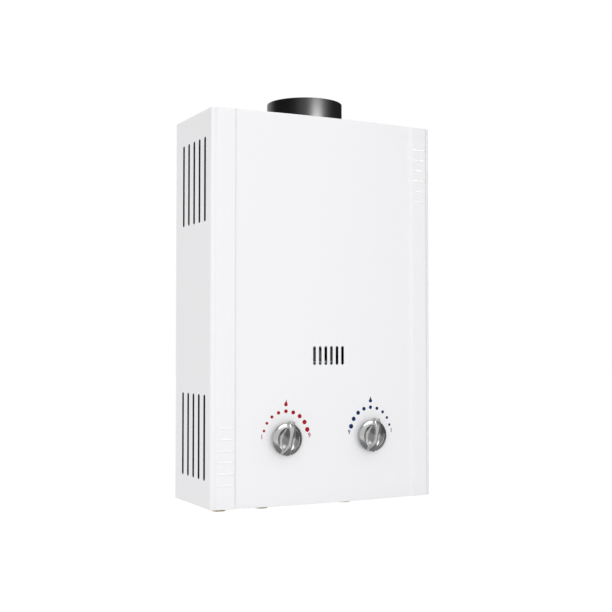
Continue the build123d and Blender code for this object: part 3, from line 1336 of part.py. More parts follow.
with BuildPart() as flue_thermostat:
    with BuildSketch(Plane.YZ.offset(CHAMBER_W / 2)):
        with Locations((-FLUE_OUT, up(FLUE_SWITCH_H))):
            Rectangle(EAR_L, HOOD_BAND - 2 * SHEET)
    extrude(amount=SHEET)
    with BuildSketch(Plane.YZ.offset(CHAMBER_W / 2)):
        with Locations((-FLUE_OUT, up(FLUE_SWITCH_H))):
            eight_sided(HOOD_BAND / 2 - SHEET)
    extrude(amount=THERMOSTAT_T)
save(flue_thermostat, "flue_thermostat")
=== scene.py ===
# %% [markdown]
# # A wall-hung gas water heater
#
# The heater is a pressed white cover over a back plate, with a black flue collar on top, two
# turning knobs on the front and pipe connections below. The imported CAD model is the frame: every
# piece here is built around it, in metres, in the same coordinates. X runs to the right as seen
# from the front, the front faces -Y, and Z is up.

# %% Load the frame
import json
import math

import bmesh
import bpy
from mathutils import Matrix, Vector


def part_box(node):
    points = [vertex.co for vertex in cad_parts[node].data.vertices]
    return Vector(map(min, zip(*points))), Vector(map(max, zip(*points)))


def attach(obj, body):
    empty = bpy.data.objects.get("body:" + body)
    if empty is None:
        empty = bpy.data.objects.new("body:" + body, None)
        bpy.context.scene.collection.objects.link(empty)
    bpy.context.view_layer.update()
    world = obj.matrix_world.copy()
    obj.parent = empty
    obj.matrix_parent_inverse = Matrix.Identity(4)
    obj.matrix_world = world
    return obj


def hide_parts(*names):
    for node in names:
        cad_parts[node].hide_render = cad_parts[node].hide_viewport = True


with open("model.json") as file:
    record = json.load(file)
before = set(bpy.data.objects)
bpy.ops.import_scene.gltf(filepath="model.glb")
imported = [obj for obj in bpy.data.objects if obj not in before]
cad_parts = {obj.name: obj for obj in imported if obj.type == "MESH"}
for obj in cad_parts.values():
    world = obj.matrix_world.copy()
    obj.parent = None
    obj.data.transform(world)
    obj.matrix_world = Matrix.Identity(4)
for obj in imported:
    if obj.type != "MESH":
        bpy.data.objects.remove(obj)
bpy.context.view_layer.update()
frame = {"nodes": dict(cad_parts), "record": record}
print("nodes in the frame:", len(frame["nodes"]))

# %% [markdown]
# ## Sizes
#
# Most sizes come from the frame's own boxes. Those that a box can't give, such as the bow of the
# front, are named here once, in metres.

# %% Sizes of the casing
MM = 0.001
cover_low, cover_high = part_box("front_cover")
collar_low, collar_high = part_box("flue_collar")
CASE_HALF = cover_high.x
CASE_BASE = cover_low.z
CASE_TOP = cover_high.z
CASE_D = 128 * MM
FRONT_BOW = 9 * MM
SHEET = 1 * MM
BOW_R = (CASE_HALF**2 + FRONT_BOW**2) / (2 * FRONT_BOW)


def front_out(x):
    """Distance from the wall to the bowed front at x, on the plain panel."""
    return CASE_D + FRONT_BOW - BOW_R + math.sqrt(BOW_R**2 - x**2)


print("casing", round(2 * CASE_HALF, 4), "wide,", round(CASE_TOP - CASE_BASE, 4), "tall")

# %% [markdown]
# ## Tools for making pieces
#
# A piece is a mesh that holds its own place, on an object that stays at the origin. These helpers
# make one from points and faces, smooth it up to a given crease, and tie it to the frame: the
# piece follows the CAD body it moves with, and the CAD nodes it stands for are hidden.

# %% Tools for making pieces
CREASE = math.radians(32)


def new_piece(name, points, faces):
    """An object at the origin with this mesh."""
    mesh = bpy.data.meshes.new(name)
    mesh.from_pydata([tuple(point) for point in points], [], faces)
    mesh.update()
    piece = bpy.data.objects.new(name, mesh)
    bpy.context.scene.collection.objects.link(piece)
    return piece


def edit(piece, change):
    """Runs change on the piece's mesh as a bmesh and writes it back."""
    work = bmesh.new()
    work.from_mesh(piece.data)
    change(work)
    work.to_mesh(piece.data)
    work.free()
    piece.data.update()


def clean(piece, distance=0.001 * MM):
    """Joins points that meet, and turns every face outwards."""

    def change(work):
        bmesh.ops.remove_doubles(work, verts=work.verts, dist=distance)
        bmesh.ops.dissolve_degenerate(work, edges=work.edges, dist=distance / 2)
        bmesh.ops.recalc_face_normals(work, faces=work.faces)

    edit(piece, change)


def smooth(piece, crease=CREASE):
    """Shades the piece smooth, apart from edges sharper than the crease."""
    piece.data.shade_smooth()
    piece.data.set_sharp_from_angle(angle=crease)


def baked(piece):
    """The piece with its modifiers worked into a plain mesh."""
    graph = bpy.context.evaluated_depsgraph_get()
    mesh = bpy.data.meshes.new_from_object(piece.evaluated_get(graph))
    piece.modifiers.clear()
    piece.data = mesh
    return piece


def fit(piece, material, body, slot, *nodes):
    """Gives the piece its material and its body, and hides the CAD nodes that it stands for. The
    slot is not used.
    """
    if material:
        piece.data.materials.clear()
        piece.data.materials.append(material)
    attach(piece, body)
    if nodes:
        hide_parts(*nodes)
    print(piece.name, "on", body, "with", len(piece.data.polygons), "faces")


def moved(piece, matrix):
    """Moves the piece's mesh, and leaves its object at the origin."""
    piece.data.transform(matrix)
    if matrix.determinant() < 0:
        piece.data.flip_normals()
    return piece


print("tools for meshes ready, with a crease of", round(math.degrees(CREASE)), "degrees")

# %% [markdown]
# ## Tools for node trees
#
# Geometry Nodes make what repeats: slots, dial dots, fins, screws and threads. A tree is built
# once with named inputs. Its modifier's inputs are found by the socket's identifier, and the
# result is kept as a plain mesh. A tree that works on a shape of its own, such as the tube's
# centre line, takes it as its first input.

# %% Tools for geometry node trees
SOCKETS = {
    float: "NodeSocketFloat",
    int: "NodeSocketInt",
    bpy.types.Material: "NodeSocketMaterial",
    bpy.types.Mesh: "NodeSocketGeometry",
}


class Tree:
    """A geometry node tree with named inputs and short calls for nodes and links."""

    def __init__(self, name, **inputs):
        self.tree = bpy.data.node_groups.new(name, "GeometryNodeTree")
        sockets = self.tree.interface
        sockets.new_socket("Geometry", in_out="OUTPUT", socket_type="NodeSocketGeometry")
        self.identifiers = {}
        for label, kind in inputs.items():
            socket = sockets.new_socket(label, in_out="INPUT", socket_type=SOCKETS[kind])
            self.identifiers[label] = socket.identifier
        self.inputs = self.tree.nodes.new("NodeGroupInput").outputs

    def node(self, kind, settings=None, **values):
        """A node with its settings made and its inputs set or linked, by name or by number."""
        made = self.tree.nodes.new(kind)
        for key, value in (settings or {}).items():
            setattr(made, key, value)
        for key, value in values.items():
            key = key.replace("_", " ")
            socket = made.inputs[int(key[2:])] if key.startswith("at") else made.inputs[key]
            if isinstance(value, bpy.types.NodeSocket):
                self.tree.links.new(value, socket)
            else:
                socket.default_value = value
        return made

    def math(self, operation, first, second=0.0):
        """The result of one sum."""
        made = self.node("ShaderNodeMath", {"operation": operation}, at0=first, at1=second)
        return made.outputs[0]

    def spot(self, x=0.0, y=0.0, z=0.0):
        """A vector made of three numbers."""
        return self.node("ShaderNodeCombineXYZ", at0=x, at1=y, at2=z).outputs[0]

    def finish(self, geometry):
        """Ends the tree in real, painted geometry."""
        real = self.node("GeometryNodeRealizeInstances", at0=geometry).outputs[0]
        painted = self.node("GeometryNodeSetMaterial", at0=real, Material=self.inputs["Material"])
        end = self.tree.nodes.new("NodeGroupOutput")
        self.tree.links.new(painted.outputs[0], end.inputs[0])

    def make(self, name, mesh=None, **values):
        """A plain mesh piece made by the tree with these input values, from this mesh if any."""
        piece = new_piece(name, [], [])
        if mesh:
            piece.data = mesh
        modifier = piece.modifiers.new(name, "NODES")
        modifier.node_group = self.tree
        for label, value in values.items():
            modifier[self.identifiers[label]] = value
        return baked(piece)


def straight_fillet(fillet, count):
    """Makes a fillet node round each corner with this many points, whose setting has two homes."""
    if "Mode" in fillet.inputs:
        fillet.inputs["Mode"].default_value = "Poly"
    else:
        fillet.mode = "POLY"
    fillet.inputs["Count"].default_value = count


print("tools for node trees ready, with", len(SOCKETS), "kinds of input")

# %% [markdown]
# ## Shader groups
#
# Two effects are shared by many finishes. Fine grain is the faint unevenness of paint, plastic and
# cast metal. Brush lines are the fine parallel marks of rolled or turned metal. Each is a group
# that puts out a mask and a normal, and every material gives it its own scale.

# %% Groups for grain and brush lines
def shader_group(name, inputs, outputs):
    """An empty shader group with these sockets, its input node and its output node."""
    group = bpy.data.node_groups.new(name, "ShaderNodeTree")
    for label, value in inputs.items():
        socket = group.interface.new_socket(label, in_out="INPUT", socket_type="NodeSocketFloat")
        socket.default_value = value
    for label, kind in outputs.items():
        group.interface.new_socket(label, in_out="OUTPUT", socket_type=kind)
    return group, group.nodes.new("NodeGroupInput"), group.nodes.new("NodeGroupOutput")


MASK_AND_NORMAL = {"Mask": "NodeSocketFloat", "Normal": "NodeSocketVector"}
NOISE_DETAIL = 3.0
BUMP_HEIGHT = 0.1 * MM
ALONG_Z = 0.02


def finish_group(name, stretch):
    """A group of noise on object coordinates, drawn out along one way, as a mask and a normal."""
    inputs = {"Scale": 800.0, "Depth": 0.02}
    group, start, end = shader_group(name, inputs, MASK_AND_NORMAL)
    nodes, link = group.nodes, group.links.new
    place = nodes.new("ShaderNodeTexCoord")
    turn = nodes.new("ShaderNodeMapping")
    turn.inputs["Scale"].default_value = stretch
    noise = nodes.new("ShaderNodeTexNoise")
    noise.inputs["Detail"].default_value = NOISE_DETAIL
    bump = nodes.new("ShaderNodeBump")
    bump.inputs["Distance"].default_value = BUMP_HEIGHT
    link(place.outputs["Object"], turn.inputs["Vector"])
    link(turn.outputs["Vector"], noise.inputs["Vector"])
    link(start.outputs["Scale"], noise.inputs["Scale"])
    link(start.outputs["Depth"], bump.inputs["Strength"])
    link(noise.outputs["Fac"], bump.inputs["Height"])
    link(noise.outputs["Fac"], end.inputs["Mask"])
    link(bump.outputs["Normal"], end.inputs["Normal"])
    return group


fine_grain = finish_group("Fine grain", (1.0, 1.0, 1.0))
brush_lines = finish_group("Brush lines", (1.0, 1.0, ALONG_Z))
print("shader groups:", fine_grain.name, "and", brush_lines.name)

# %% [markdown]
# ## Finishes
#
# Each finish is a Principled material. What is even all over is set on the shader itself, and the
# group only moves the colour and the roughness a little from place to place, because nothing real
# is perfectly even. The enamels are smooth and the cast metal is rough. The dull near-black finish
# inside the cover, which also shows on the walls of its slots, is painted shade: it stands in for
# the shadow in there.

# %% Finishes
def finish(name, colour, roughness, metallic=0.0, group=fine_grain, scale=800.0, depth=0.02,
           vary=0.04, specular=0.5):
    """A material with a plain colour, slightly varied by a shader group."""
    material = bpy.data.materials.new(name)
    material.use_nodes = True
    nodes, link = material.node_tree.nodes, material.node_tree.links.new
    shader = nodes["Principled BSDF"]
    shader.inputs["Metallic"].default_value = metallic
    shader.inputs["Specular IOR Level"].default_value = specular
    effect = nodes.new("ShaderNodeGroup")
    effect.node_tree = group
    effect.inputs["Scale"].default_value = scale
    effect.inputs["Depth"].default_value = depth
    tint = nodes.new("ShaderNodeMix")
    tint.data_type = "RGBA"
    tint.inputs[6].default_value = (*[part * (1 - vary) for part in colour], 1.0)
    tint.inputs[7].default_value = (*[min(part * (1 + vary), 1.0) for part in colour], 1.0)
    gloss = nodes.new("ShaderNodeMapRange")
    gloss.inputs["To Min"].default_value = roughness * (1 - vary)
    gloss.inputs["To Max"].default_value = roughness * (1 + vary)
    link(effect.outputs["Mask"], tint.inputs[0])
    link(effect.outputs["Mask"], gloss.inputs["Value"])
    link(tint.outputs[2], shader.inputs["Base Color"])
    link(gloss.outputs["Result"], shader.inputs["Roughness"])
    link(effect.outputs["Normal"], shader.inputs["Normal"])
    return material


white_enamel = finish("white enamel", (0.86, 0.86, 0.875), 0.3, scale=500.0, depth=0.01,
                      vary=0.004)
black_enamel = finish("black enamel", (0.002, 0.002, 0.0023), 0.36, depth=0.01, vary=0.1)
galvanised = finish("galvanised sheet", (0.60, 0.62, 0.64), 0.38, metallic=1.0, scale=140.0,
                    depth=0.03, vary=0.14)
burner_steel = finish("burner steel", (0.42, 0.42, 0.42), 0.42, metallic=1.0, group=brush_lines,
                      scale=900.0, depth=0.05, vary=0.10)
copper = finish("copper", (0.78, 0.42, 0.28), 0.32, metallic=1.0, scale=220.0, depth=0.03,
                vary=0.12)
brass = finish("turned brass", (0.78, 0.62, 0.33), 0.30, metallic=1.0, group=brush_lines,
               scale=1200.0, depth=0.04, vary=0.06)
cast_aluminium = finish("cast aluminium", (0.62, 0.63, 0.64), 0.48, metallic=1.0, scale=900.0,
                        depth=0.25, vary=0.08)
turned_steel = finish("turned steel", (0.62, 0.62, 0.64), 0.28, metallic=1.0, group=brush_lines,
                      scale=1500.0, depth=0.04, vary=0.06)
silver_plastic = finish("silver plastic", (0.46, 0.465, 0.46), 0.25, metallic=1.0, scale=1500.0,
                        depth=0.02, vary=0.03)
black_plastic = finish("black plastic", (0.03, 0.03, 0.033), 0.45, depth=0.08, vary=0.06)
grey_plastic = finish("grey plastic", (0.30, 0.31, 0.33), 0.48, depth=0.08, vary=0.03)
white_ceramic = finish("white ceramic", (0.84, 0.82, 0.76), 0.28, vary=0.02)
black_rubber = finish("black rubber", (0.025, 0.025, 0.025), 0.7, depth=0.1, vary=0.05)
lead_rubber = finish("lead rubber", (0.74, 0.71, 0.65), 0.5, depth=0.06, vary=0.03)
# painted shade: a dull near-black finish for the inside of the cover and the walls of its slots
painted_shade_in_cover = finish("painted shade in the cover", (0.012, 0.012, 0.013), 0.7, depth=0.08, vary=0.06,
                      specular=0.2)
coil_plastic = finish("coil plastic", (0.05, 0.05, 0.065), 0.4, depth=0.06, vary=0.05)
cell_jacket = finish("cell jacket", (0.16, 0.18, 0.21), 0.3, vary=0.04)
spring_metal = finish("spring metal", (0.75, 0.75, 0.76), 0.22, metallic=1.0, group=brush_lines,
                      scale=1500.0, depth=0.03, vary=0.05)
red_ink = finish("red ink", (0.36, 0.004, 0.012), 0.5, vary=0.02, specular=0.15)
blue_ink = finish("blue ink", (0.006, 0.024, 0.11), 0.5, vary=0.02, specular=0.15)
print("finishes:", len(bpy.data.materials))

# %% [markdown]
# ## Glass
#
# The small pane in front of the burner is the one clear piece. Clear glass needs no group: its
# faint green, its smoothness and its index say all there is.

# %% Clear glass
clear_glass = bpy.data.materials.new("clear glass")
clear_glass.use_nodes = True
glass_shader = clear_glass.node_tree.nodes["Principled BSDF"]
glass_shader.inputs["Base Color"].default_value = (0.93, 0.97, 0.95, 1.0)
glass_shader.inputs["Roughness"].default_value = 0.03
glass_shader.inputs["Transmission Weight"].default_value = 1.0
glass_shader.inputs["IOR"].default_value = 1.5
print("glass with index", glass_shader.inputs["IOR"].default_value)

# %% [markdown]
# ## The inner pieces
#
# Most other pieces, of copper, brass, steel and plastic, sit behind the cover. Their shapes are
# already right in the frame, so each gets a copy of its own mesh: flat triangles are joined into
# whole faces, round walls are shaded smooth, and a small bevel breaks the corners as casting and
# folding do. A table from slot to finish keeps this to one loop.

# %% Dress the inner pieces
FINISH_OF_SLOT = {
    "galvanised_sheet": galvanised,
    "burner_steel": burner_steel,
    "copper": copper,
    "brass_turned": brass,
    "cast_aluminium": cast_aluminium,
    "turned_steel": turned_steel,
    "black_plastic": black_plastic,
    "grey_plastic": grey_plastic,
    "white_ceramic": white_ceramic,
    "black_rubber": black_rubber,
    "lead_rubber": lead_rubber,
    "clear_glass": clear_glass,
    "coil_plastic": coil_plastic,
    "cell_jacket": cell_jacket,
    "spring_metal": spring_metal,
}
MADE_BELOW = {
    "front_cover", "flue_collar", "gas_knob", "water_knob", "water_tube", "fin_pack",
    "hot_outlet", "gas_inlet", "cold_inlet", "bottom_plate",
}
EDGE_W = {"galvanised_sheet": 0.2 * MM, "clear_glass": 0.2 * MM, "cast_aluminium": 0.8 * MM}
PLAIN_EDGE_W = 0.35 * MM
EDGE_STEPS = 2
EDGE_ANGLE = math.radians(40)
FLAT = math.radians(0.5)
record = frame["record"]
slot_of = {row["node"]: row["material_slot"] for row in record["subparts"]}
body_of = {node: body for body, nodes in record["behaviour"]["bodies"].items() for node in nodes}


def whole_faces(work):
    """Joins the loose triangles of a CAD mesh into whole flat faces."""
    bmesh.ops.remove_doubles(work, verts=work.verts, dist=0.001 * MM)
    bmesh.ops.dissolve_limit(work, angle_limit=FLAT, verts=work.verts, edges=work.edges)


def copy_of(node):
    """A merged copy of a CAD node's mesh, as a piece of its own."""
    piece = bpy.data.objects.new("dressed_" + node, frame["nodes"][node].data.copy())
    bpy.context.scene.collection.objects.link(piece)
    edit(piece, whole_faces)
    return piece


for node, slot in slot_of.items():
    if node in MADE_BELOW:
        continue
    piece = copy_of(node)
    bevel = piece.modifiers.new("edge", "BEVEL")
    bevel.width = EDGE_W.get(slot, PLAIN_EDGE_W)
    bevel.segments = EDGE_STEPS
    bevel.limit_method = "ANGLE"
    bevel.angle_limit = EDGE_ANGLE
    bevel.use_clamp_overlap = True
    baked(piece)
    smooth(piece)
    fit(piece, FINISH_OF_SLOT[slot], body_of[node], slot, node)

# %% [markdown]
# ## The front cover
#
# The cover is one sheet of steel, pressed and folded: a bowed front with a raised strip down each
# side, short beads across the strips, flat sides, and narrow flanges above and below. A box with
# bevels would show flat corners where the real sheet flows, so the sheet is drawn as a grid: its
# columns follow the plan of the casing, its rows climb from the lower flange to the upper one, and
# a formula lifts the strips and beads. Solidify then gives it its thickness.

# %% Plan of the casing
CORNER_R = 3 * MM
COVER_BACK = 0.5 * MM
STRIP_OUTER = CASE_HALF - 4 * MM
STRIP_INNER = STRIP_OUTER - 30.5 * MM
STRIP_RAMP = 4 * MM
OUTER_RAMP = 4 * MM
STRIP_RISE = 2.5 * MM
CORNER_STEPS = 8
WIDE_STEP = 5 * MM
STRIP_STEP = 2 * MM
FINE_STEP = 0.5 * MM
SIDE_STEP = 14 * MM


def steps(start, end, step):
    """Values from start to end, both included, no further apart than the step."""
    count = max(1, math.ceil(abs(end - start) / step))
    return [start + (end - start) * n / count for n in range(count + 1)]


def soft_step(t):
    """0 below 0, 1 above 1, and a soft rise between."""
    t = min(max(t, 0.0), 1.0)
    return t * t * (3 - 2 * t)


def strip_rise(x):
    """How far the raised strips stand out of the bowed front at x."""
    outer = soft_step((STRIP_OUTER - abs(x)) / OUTER_RAMP)
    inner = soft_step((abs(x) - STRIP_INNER) / STRIP_RAMP)
    return STRIP_RISE * outer * inner


def casing_plan():
    """Plan of the cover from its back left edge round the front, as (x, out) pairs."""
    centre_x = CASE_HALF - CORNER_R
    centre_out = front_out(centre_x) - CORNER_R
    right = [0.0]
    right += steps(0, STRIP_INNER, WIDE_STEP)[1:]
    right += steps(STRIP_INNER, STRIP_INNER + STRIP_RAMP, FINE_STEP)[1:]
    right += steps(STRIP_INNER + STRIP_RAMP, STRIP_OUTER - OUTER_RAMP, STRIP_STEP)[1:]
    right += steps(STRIP_OUTER - OUTER_RAMP, STRIP_OUTER, FINE_STEP)[1:]
    half = [(x, front_out(x) + strip_rise(x)) for x in right if x < centre_x]
    for n in range(CORNER_STEPS + 1):
        angle = math.pi / 2 * (1 - n / CORNER_STEPS)
        half.append((centre_x + CORNER_R * math.cos(angle),
                     centre_out + CORNER_R * math.sin(angle)))
    half += [(CASE_HALF, out) for out in steps(centre_out, COVER_BACK, SIDE_STEP)[1:]]
    return [(-x, out) for x, out in reversed(half[1:])] + half


plan = casing_plan()
print("points in the casing's plan:", len(plan))

# %% Rows of the cover and its pressed beads
RETURN_W = 10 * MM
FOLD_R = 0.8 * MM
FOLD_STEPS = 4
BEAD_COUNT = 6
BEAD_PITCH = 14.6 * MM
BEAD_HALF_L = 12 * MM
BEAD_HALF_W = 1.3 * MM
BEAD_PROUD = 0.6 * MM
BEAD_END = 2.5 * MM
BEAD_X = (STRIP_INNER + STRIP_OUTER) / 2
LEFT_BEADS_Z = CASE_BASE + 66.6 * MM
RIGHT_BEADS_Z = CASE_TOP - 69 * MM
BEAD_OFFSETS = [BEAD_PITCH * (n - (BEAD_COUNT - 1) / 2) for n in range(BEAD_COUNT)]
BEAD_ROWS = 8
BEAD_STEP = 2 * BEAD_HALF_W / BEAD_ROWS
BEAD_KEEP = 0.25 * MM
TALL_STEP = 30 * MM


def bead_rise(x, z):
    """How far a bead stands out of its strip at x and z."""
    middle = LEFT_BEADS_Z if x < 0 else RIGHT_BEADS_Z
    nearest = min(abs(z - middle - offset) for offset in BEAD_OFFSETS)
    if nearest >= BEAD_HALF_W:
        return 0.0
    along = soft_step((BEAD_HALF_L - abs(abs(x) - BEAD_X)) / BEAD_END)
    return BEAD_PROUD * along * math.cos(math.pi / 2 * nearest / BEAD_HALF_W)


def cover_rows():
    """Rows of the cover as (z, inset): the folds at both ends, and more rows where beads are."""
    fold = [(FOLD_R * (1 - math.cos(a)), FOLD_R * (1 - math.sin(a)))
            for a in (math.pi / 2 * n / FOLD_STEPS for n in range(FOLD_STEPS + 1))]
    heights = set(steps(CASE_BASE + FOLD_R, CASE_TOP - FOLD_R, TALL_STEP)[1:-1])
    for middle in (LEFT_BEADS_Z, RIGHT_BEADS_Z):
        for offset in BEAD_OFFSETS:
            around = middle + offset
            low, high = around - BEAD_HALF_W, around + BEAD_HALF_W
            heights.update(steps(low, high, BEAD_STEP))
            heights.update((low - BEAD_KEEP, high + BEAD_KEEP))
    rows = [(CASE_BASE + rise, inset) for rise, inset in fold]
    rows += [(z, 0.0) for z in sorted(heights)]
    rows += [(CASE_TOP - rise, inset) for rise, inset in reversed(fold)]
    return rows


rows = cover_rows()
print("rows of the cover:", len(rows))

# %% Sheet of the cover
def outward(n):
    """Unit normal of the casing's plan at its point n, in plan."""
    before = Vector(plan[max(n - 1, 0)])
    after = Vector(plan[min(n + 1, len(plan) - 1)])
    along = after - before
    return Vector((-along.y, along.x)).normalized()


def flange_edge(z):
    """The free edge of the flange at the height z, one point for each of the plan's."""
    inner_x = CASE_HALF - RETURN_W
    return [(min(max(x, -inner_x), inner_x), min(out, CASE_D - RETURN_W), z) for x, out in plan]


def cover_sheet():
    """The cover as a thin sheet: rows of points that follow the plan, flange to flange."""
    points = flange_edge(CASE_BASE)
    width = len(plan)
    for z, inset in rows:
        for n, (x, out) in enumerate(plan):
            normal = outward(n)
            lift = bead_rise(x, z) if abs(x) > STRIP_INNER and out > CASE_D else 0.0
            points.append((x - normal.x * inset, out - normal.y * inset + lift, z))
    points += flange_edge(CASE_TOP)
    points = [(x, -out, z) for x, out, z in points]
    faces = []
    for row in range(len(rows) + 1):
        for n in range(width - 1):
            first = row * width + n
            faces.append((first, first + 1, first + 1 + width, first + width))
    return new_piece("cover_sheet", points, faces)


cover = cover_sheet()
clean(cover)
front_middle = Vector((0, -CASE_D, 0))
front_face = min(cover.data.polygons, key=lambda face: (face.center - front_middle).length)
if front_face.normal.y > 0:
    cover.data.flip_normals()
cover.data.materials.append(white_enamel)
cover.data.materials.append(painted_shade_in_cover)
thickness = cover.modifiers.new("thickness", "SOLIDIFY")
thickness.thickness = SHEET
thickness.offset = -1.0
# the inner faces take the second material, the painted shade of the cover's inside
thickness.material_offset = 1
baked(cover)
print("cover faces:", len(cover.data.polygons))

# %% [markdown]
# ## Slots in the sheet
#
# The slots are punched, so their ends are round. A node tree makes a row of round-ended bars from
# a count, a pitch and a size, and Boolean cuts them out of the sheet. The same tree serves the
# viewing slots, the side vents and the two holes for the knobs' spindles. The bars carry the
# painted shade, and the cut hands it on to the walls of each slot, so that the slots look deep and
# dark.

# %% Row of slots
slot_tree = Tree("Row of slots", Count=int, Pitch=float, Width=float, Length=float, Depth=float,
                 Material=bpy.types.Material)
SLOT_END_POINTS = 6
JUST_UNDER_HALF = 0.499
outline = slot_tree.node("GeometryNodeCurvePrimitiveQuadrilateral",
                         Width=slot_tree.inputs["Width"], Height=slot_tree.inputs["Length"])
end_radius = slot_tree.math("MULTIPLY", slot_tree.inputs["Width"], JUST_UNDER_HALF)
rounded = slot_tree.node("GeometryNodeFilletCurve", Curve=outline.outputs[0], Radius=end_radius)
straight_fillet(rounded, SLOT_END_POINTS)
filled = slot_tree.node("GeometryNodeFillCurve", at0=rounded.outputs[0])
half_down = slot_tree.math("MULTIPLY", slot_tree.inputs["Depth"], -0.5)
lower = slot_tree.node("GeometryNodeTransform", Geometry=filled.outputs[0],
                       Translation=slot_tree.spot(z=half_down))
raised = slot_tree.node("GeometryNodeExtrudeMesh", {"mode": "FACES"}, Mesh=lower.outputs[0],
                        Offset=slot_tree.spot(z=1.0), Offset_Scale=slot_tree.inputs["Depth"],
                        Individual=False)
under = slot_tree.node("GeometryNodeFlipFaces", Mesh=lower.outputs[0])
both = slot_tree.node("GeometryNodeJoinGeometry")
slot_tree.tree.links.new(raised.outputs[0], both.inputs[0])
slot_tree.tree.links.new(under.outputs[0], both.inputs[0])
bar = slot_tree.node("GeometryNodeMergeByDistance", Geometry=both.outputs[0], Distance=0.001 * MM)
run = slot_tree.math("MULTIPLY", slot_tree.inputs["Pitch"],
                     slot_tree.math("SUBTRACT", slot_tree.inputs["Count"], 1.0))
line = slot_tree.node("GeometryNodeMeshLine", Count=slot_tree.inputs["Count"],
                      Start_Location=slot_tree.spot(x=slot_tree.math("MULTIPLY", run, -0.5)),
                      Offset=slot_tree.spot(x=slot_tree.inputs["Pitch"]))
bars = slot_tree.node("GeometryNodeInstanceOnPoints", Points=line.outputs[0],
                      Instance=bar.outputs[0])
slot_tree.finish(bars.outputs[0])


def punch(piece, cutters):
    """Cuts the cutters out of the piece, and leaves the painted shade of a cutter that carries it
    on the cut.
    """
    for cutter in cutters:
        clean(cutter)
        hole = piece.modifiers.new("hole", "BOOLEAN")
        hole.object = cutter
        hole.solver = "EXACT"
        # a cutter with a material hands its painted shade to the walls of the cut
        if cutter.data.materials:
            hole.material_mode = "TRANSFER"
    baked(piece)
    for cutter in cutters:
        bpy.data.objects.remove(cutter)


def slot_row(name, place, sizes):
    """A row of round-ended bars of these sizes, moved to its place."""
    # the bars carry the painted shade that the cut leaves on the walls of the slots
    return moved(slot_tree.make(name, Material=painted_shade_in_cover, **sizes), place)


print("a slot's end has", SLOT_END_POINTS, "points for each corner")

# %% Punch the cover
FACING_FRONT = Matrix.Rotation(math.pi / 2, 4, "X")
FACING_SIDE = Matrix.Rotation(math.pi / 2, 4, "Z") @ FACING_FRONT
VIEW_Z = CASE_BASE + 195.5 * MM
VENT_OUT = 68.3 * MM
VENT_END = 90.5 * MM
KNOB_X = 64 * MM
KNOB_Z = CASE_BASE + 87 * MM
COVER_HOLE_R = 7 * MM
COVER_CREASE = math.radians(40)
VIEW_SLOTS = {"Count": 6, "Pitch": 8.45 * MM, "Width": 4.1 * MM, "Length": 25 * MM,
              "Depth": 12 * MM}
SIDE_VENTS = {"Count": 5, "Pitch": 19.4 * MM, "Width": 6.2 * MM, "Length": 110.5 * MM,
              "Depth": 2.2 * CASE_HALF}
SPINDLE_HOLE = {"Count": 1, "Pitch": 1.0, "Width": 2 * COVER_HOLE_R,
                "Length": 2.001 * COVER_HOLE_R, "Depth": 24 * MM}


def in_front(x, z):
    """The place on the front's plane at x and z, facing forwards."""
    return Matrix.Translation((x, -CASE_D - FRONT_BOW, z)) @ FACING_FRONT


cutters = [slot_row("view slots", in_front(0, VIEW_Z), VIEW_SLOTS)]
for z in (CASE_BASE + VENT_END, CASE_TOP - VENT_END):
    sideways = Matrix.Translation((0, -VENT_OUT, z)) @ FACING_SIDE
    cutters.append(slot_row("side vents", sideways, SIDE_VENTS))
for x in (-KNOB_X, KNOB_X):
    cutters.append(slot_row("spindle hole", in_front(x, KNOB_Z), SPINDLE_HOLE))
punch(cover, cutters)
smooth(cover, COVER_CREASE)
fit(cover, None, "casing", "white_enamel", "front_cover")

# %% [markdown]
# ## The bottom plate
#
# The bottom plate is flat galvanised sheet with round-ended air slots. It is a copy of its own
# node without a bevel, because its shape is already right and its cut edges are sharp.

# %% Bottom plate
bottom_plate = copy_of("bottom_plate")
smooth(bottom_plate)
fit(bottom_plate, galvanised, "casing", "galvanised_sheet", "bottom_plate")

# %% [markdown]
# ## The flue collar
#
# The collar is a drawn steel ring in gloss black enamel, with a softly rounded rim. Its wall's
# outline is turned round the flue's axis, as on a lathe, because every section of a ring is alike.

# %% Flue collar
TURN_STEPS = 128
COLLAR_WALL = 1 * MM
RIM_STEPS = 6
RIM_CREASE = math.radians(50)


def turned(name, outline, centre, turn_steps=TURN_STEPS):
    """A closed ring: the outline of (radius, height) pairs turned round a vertical axis."""
    count = len(outline)
    points = []
    for n in range(turn_steps):
        angle = 2 * math.pi * n / turn_steps
        across, along = math.cos(angle), math.sin(angle)
        points += [(centre.x + r * across, centre.y + r * along, z) for r, z in outline]
    faces = []
    for n in range(turn_steps):
        here, there = n * count, (n + 1) % turn_steps * count
        for k in range(count):
            nxt = (k + 1) % count
            faces.append((here + k, here + nxt, there + nxt, there + k))
    piece = new_piece(name, points, faces)
    clean(piece)
    return piece


collar_axis = (collar_low + collar_high) / 2
COLLAR_OUTER_R = (collar_high.x - collar_low.x) / 2
COLLAR_INNER_R = COLLAR_OUTER_R - COLLAR_WALL
RIM_R = 0.5 * MM
rim = [(COLLAR_INNER_R + RIM_R + RIM_R * math.cos(a), collar_high.z - RIM_R + RIM_R * math.sin(a))
       for a in (math.pi * n / RIM_STEPS for n in range(RIM_STEPS + 1))]
wall_foot = [(COLLAR_INNER_R, collar_low.z), (COLLAR_OUTER_R, collar_low.z)]
collar = turned("collar_ring", wall_foot + rim, collar_axis)
smooth(collar, RIM_CREASE)
fit(collar, black_enamel, "casing", "black_enamel", "flue_collar")

# %% [markdown]
# ## The knobs
#
# Each knob is one silver moulding. Two scoops leave a ridge to grip, narrow in the middle, and a
# nub past the rim points at the dial. Such a face flows without edges, so it is a height over a
# round grid: a formula gives the height of the lip, the scoops and the ridge at any spot, and the
# grid is bent to it. The wall and the back close it.

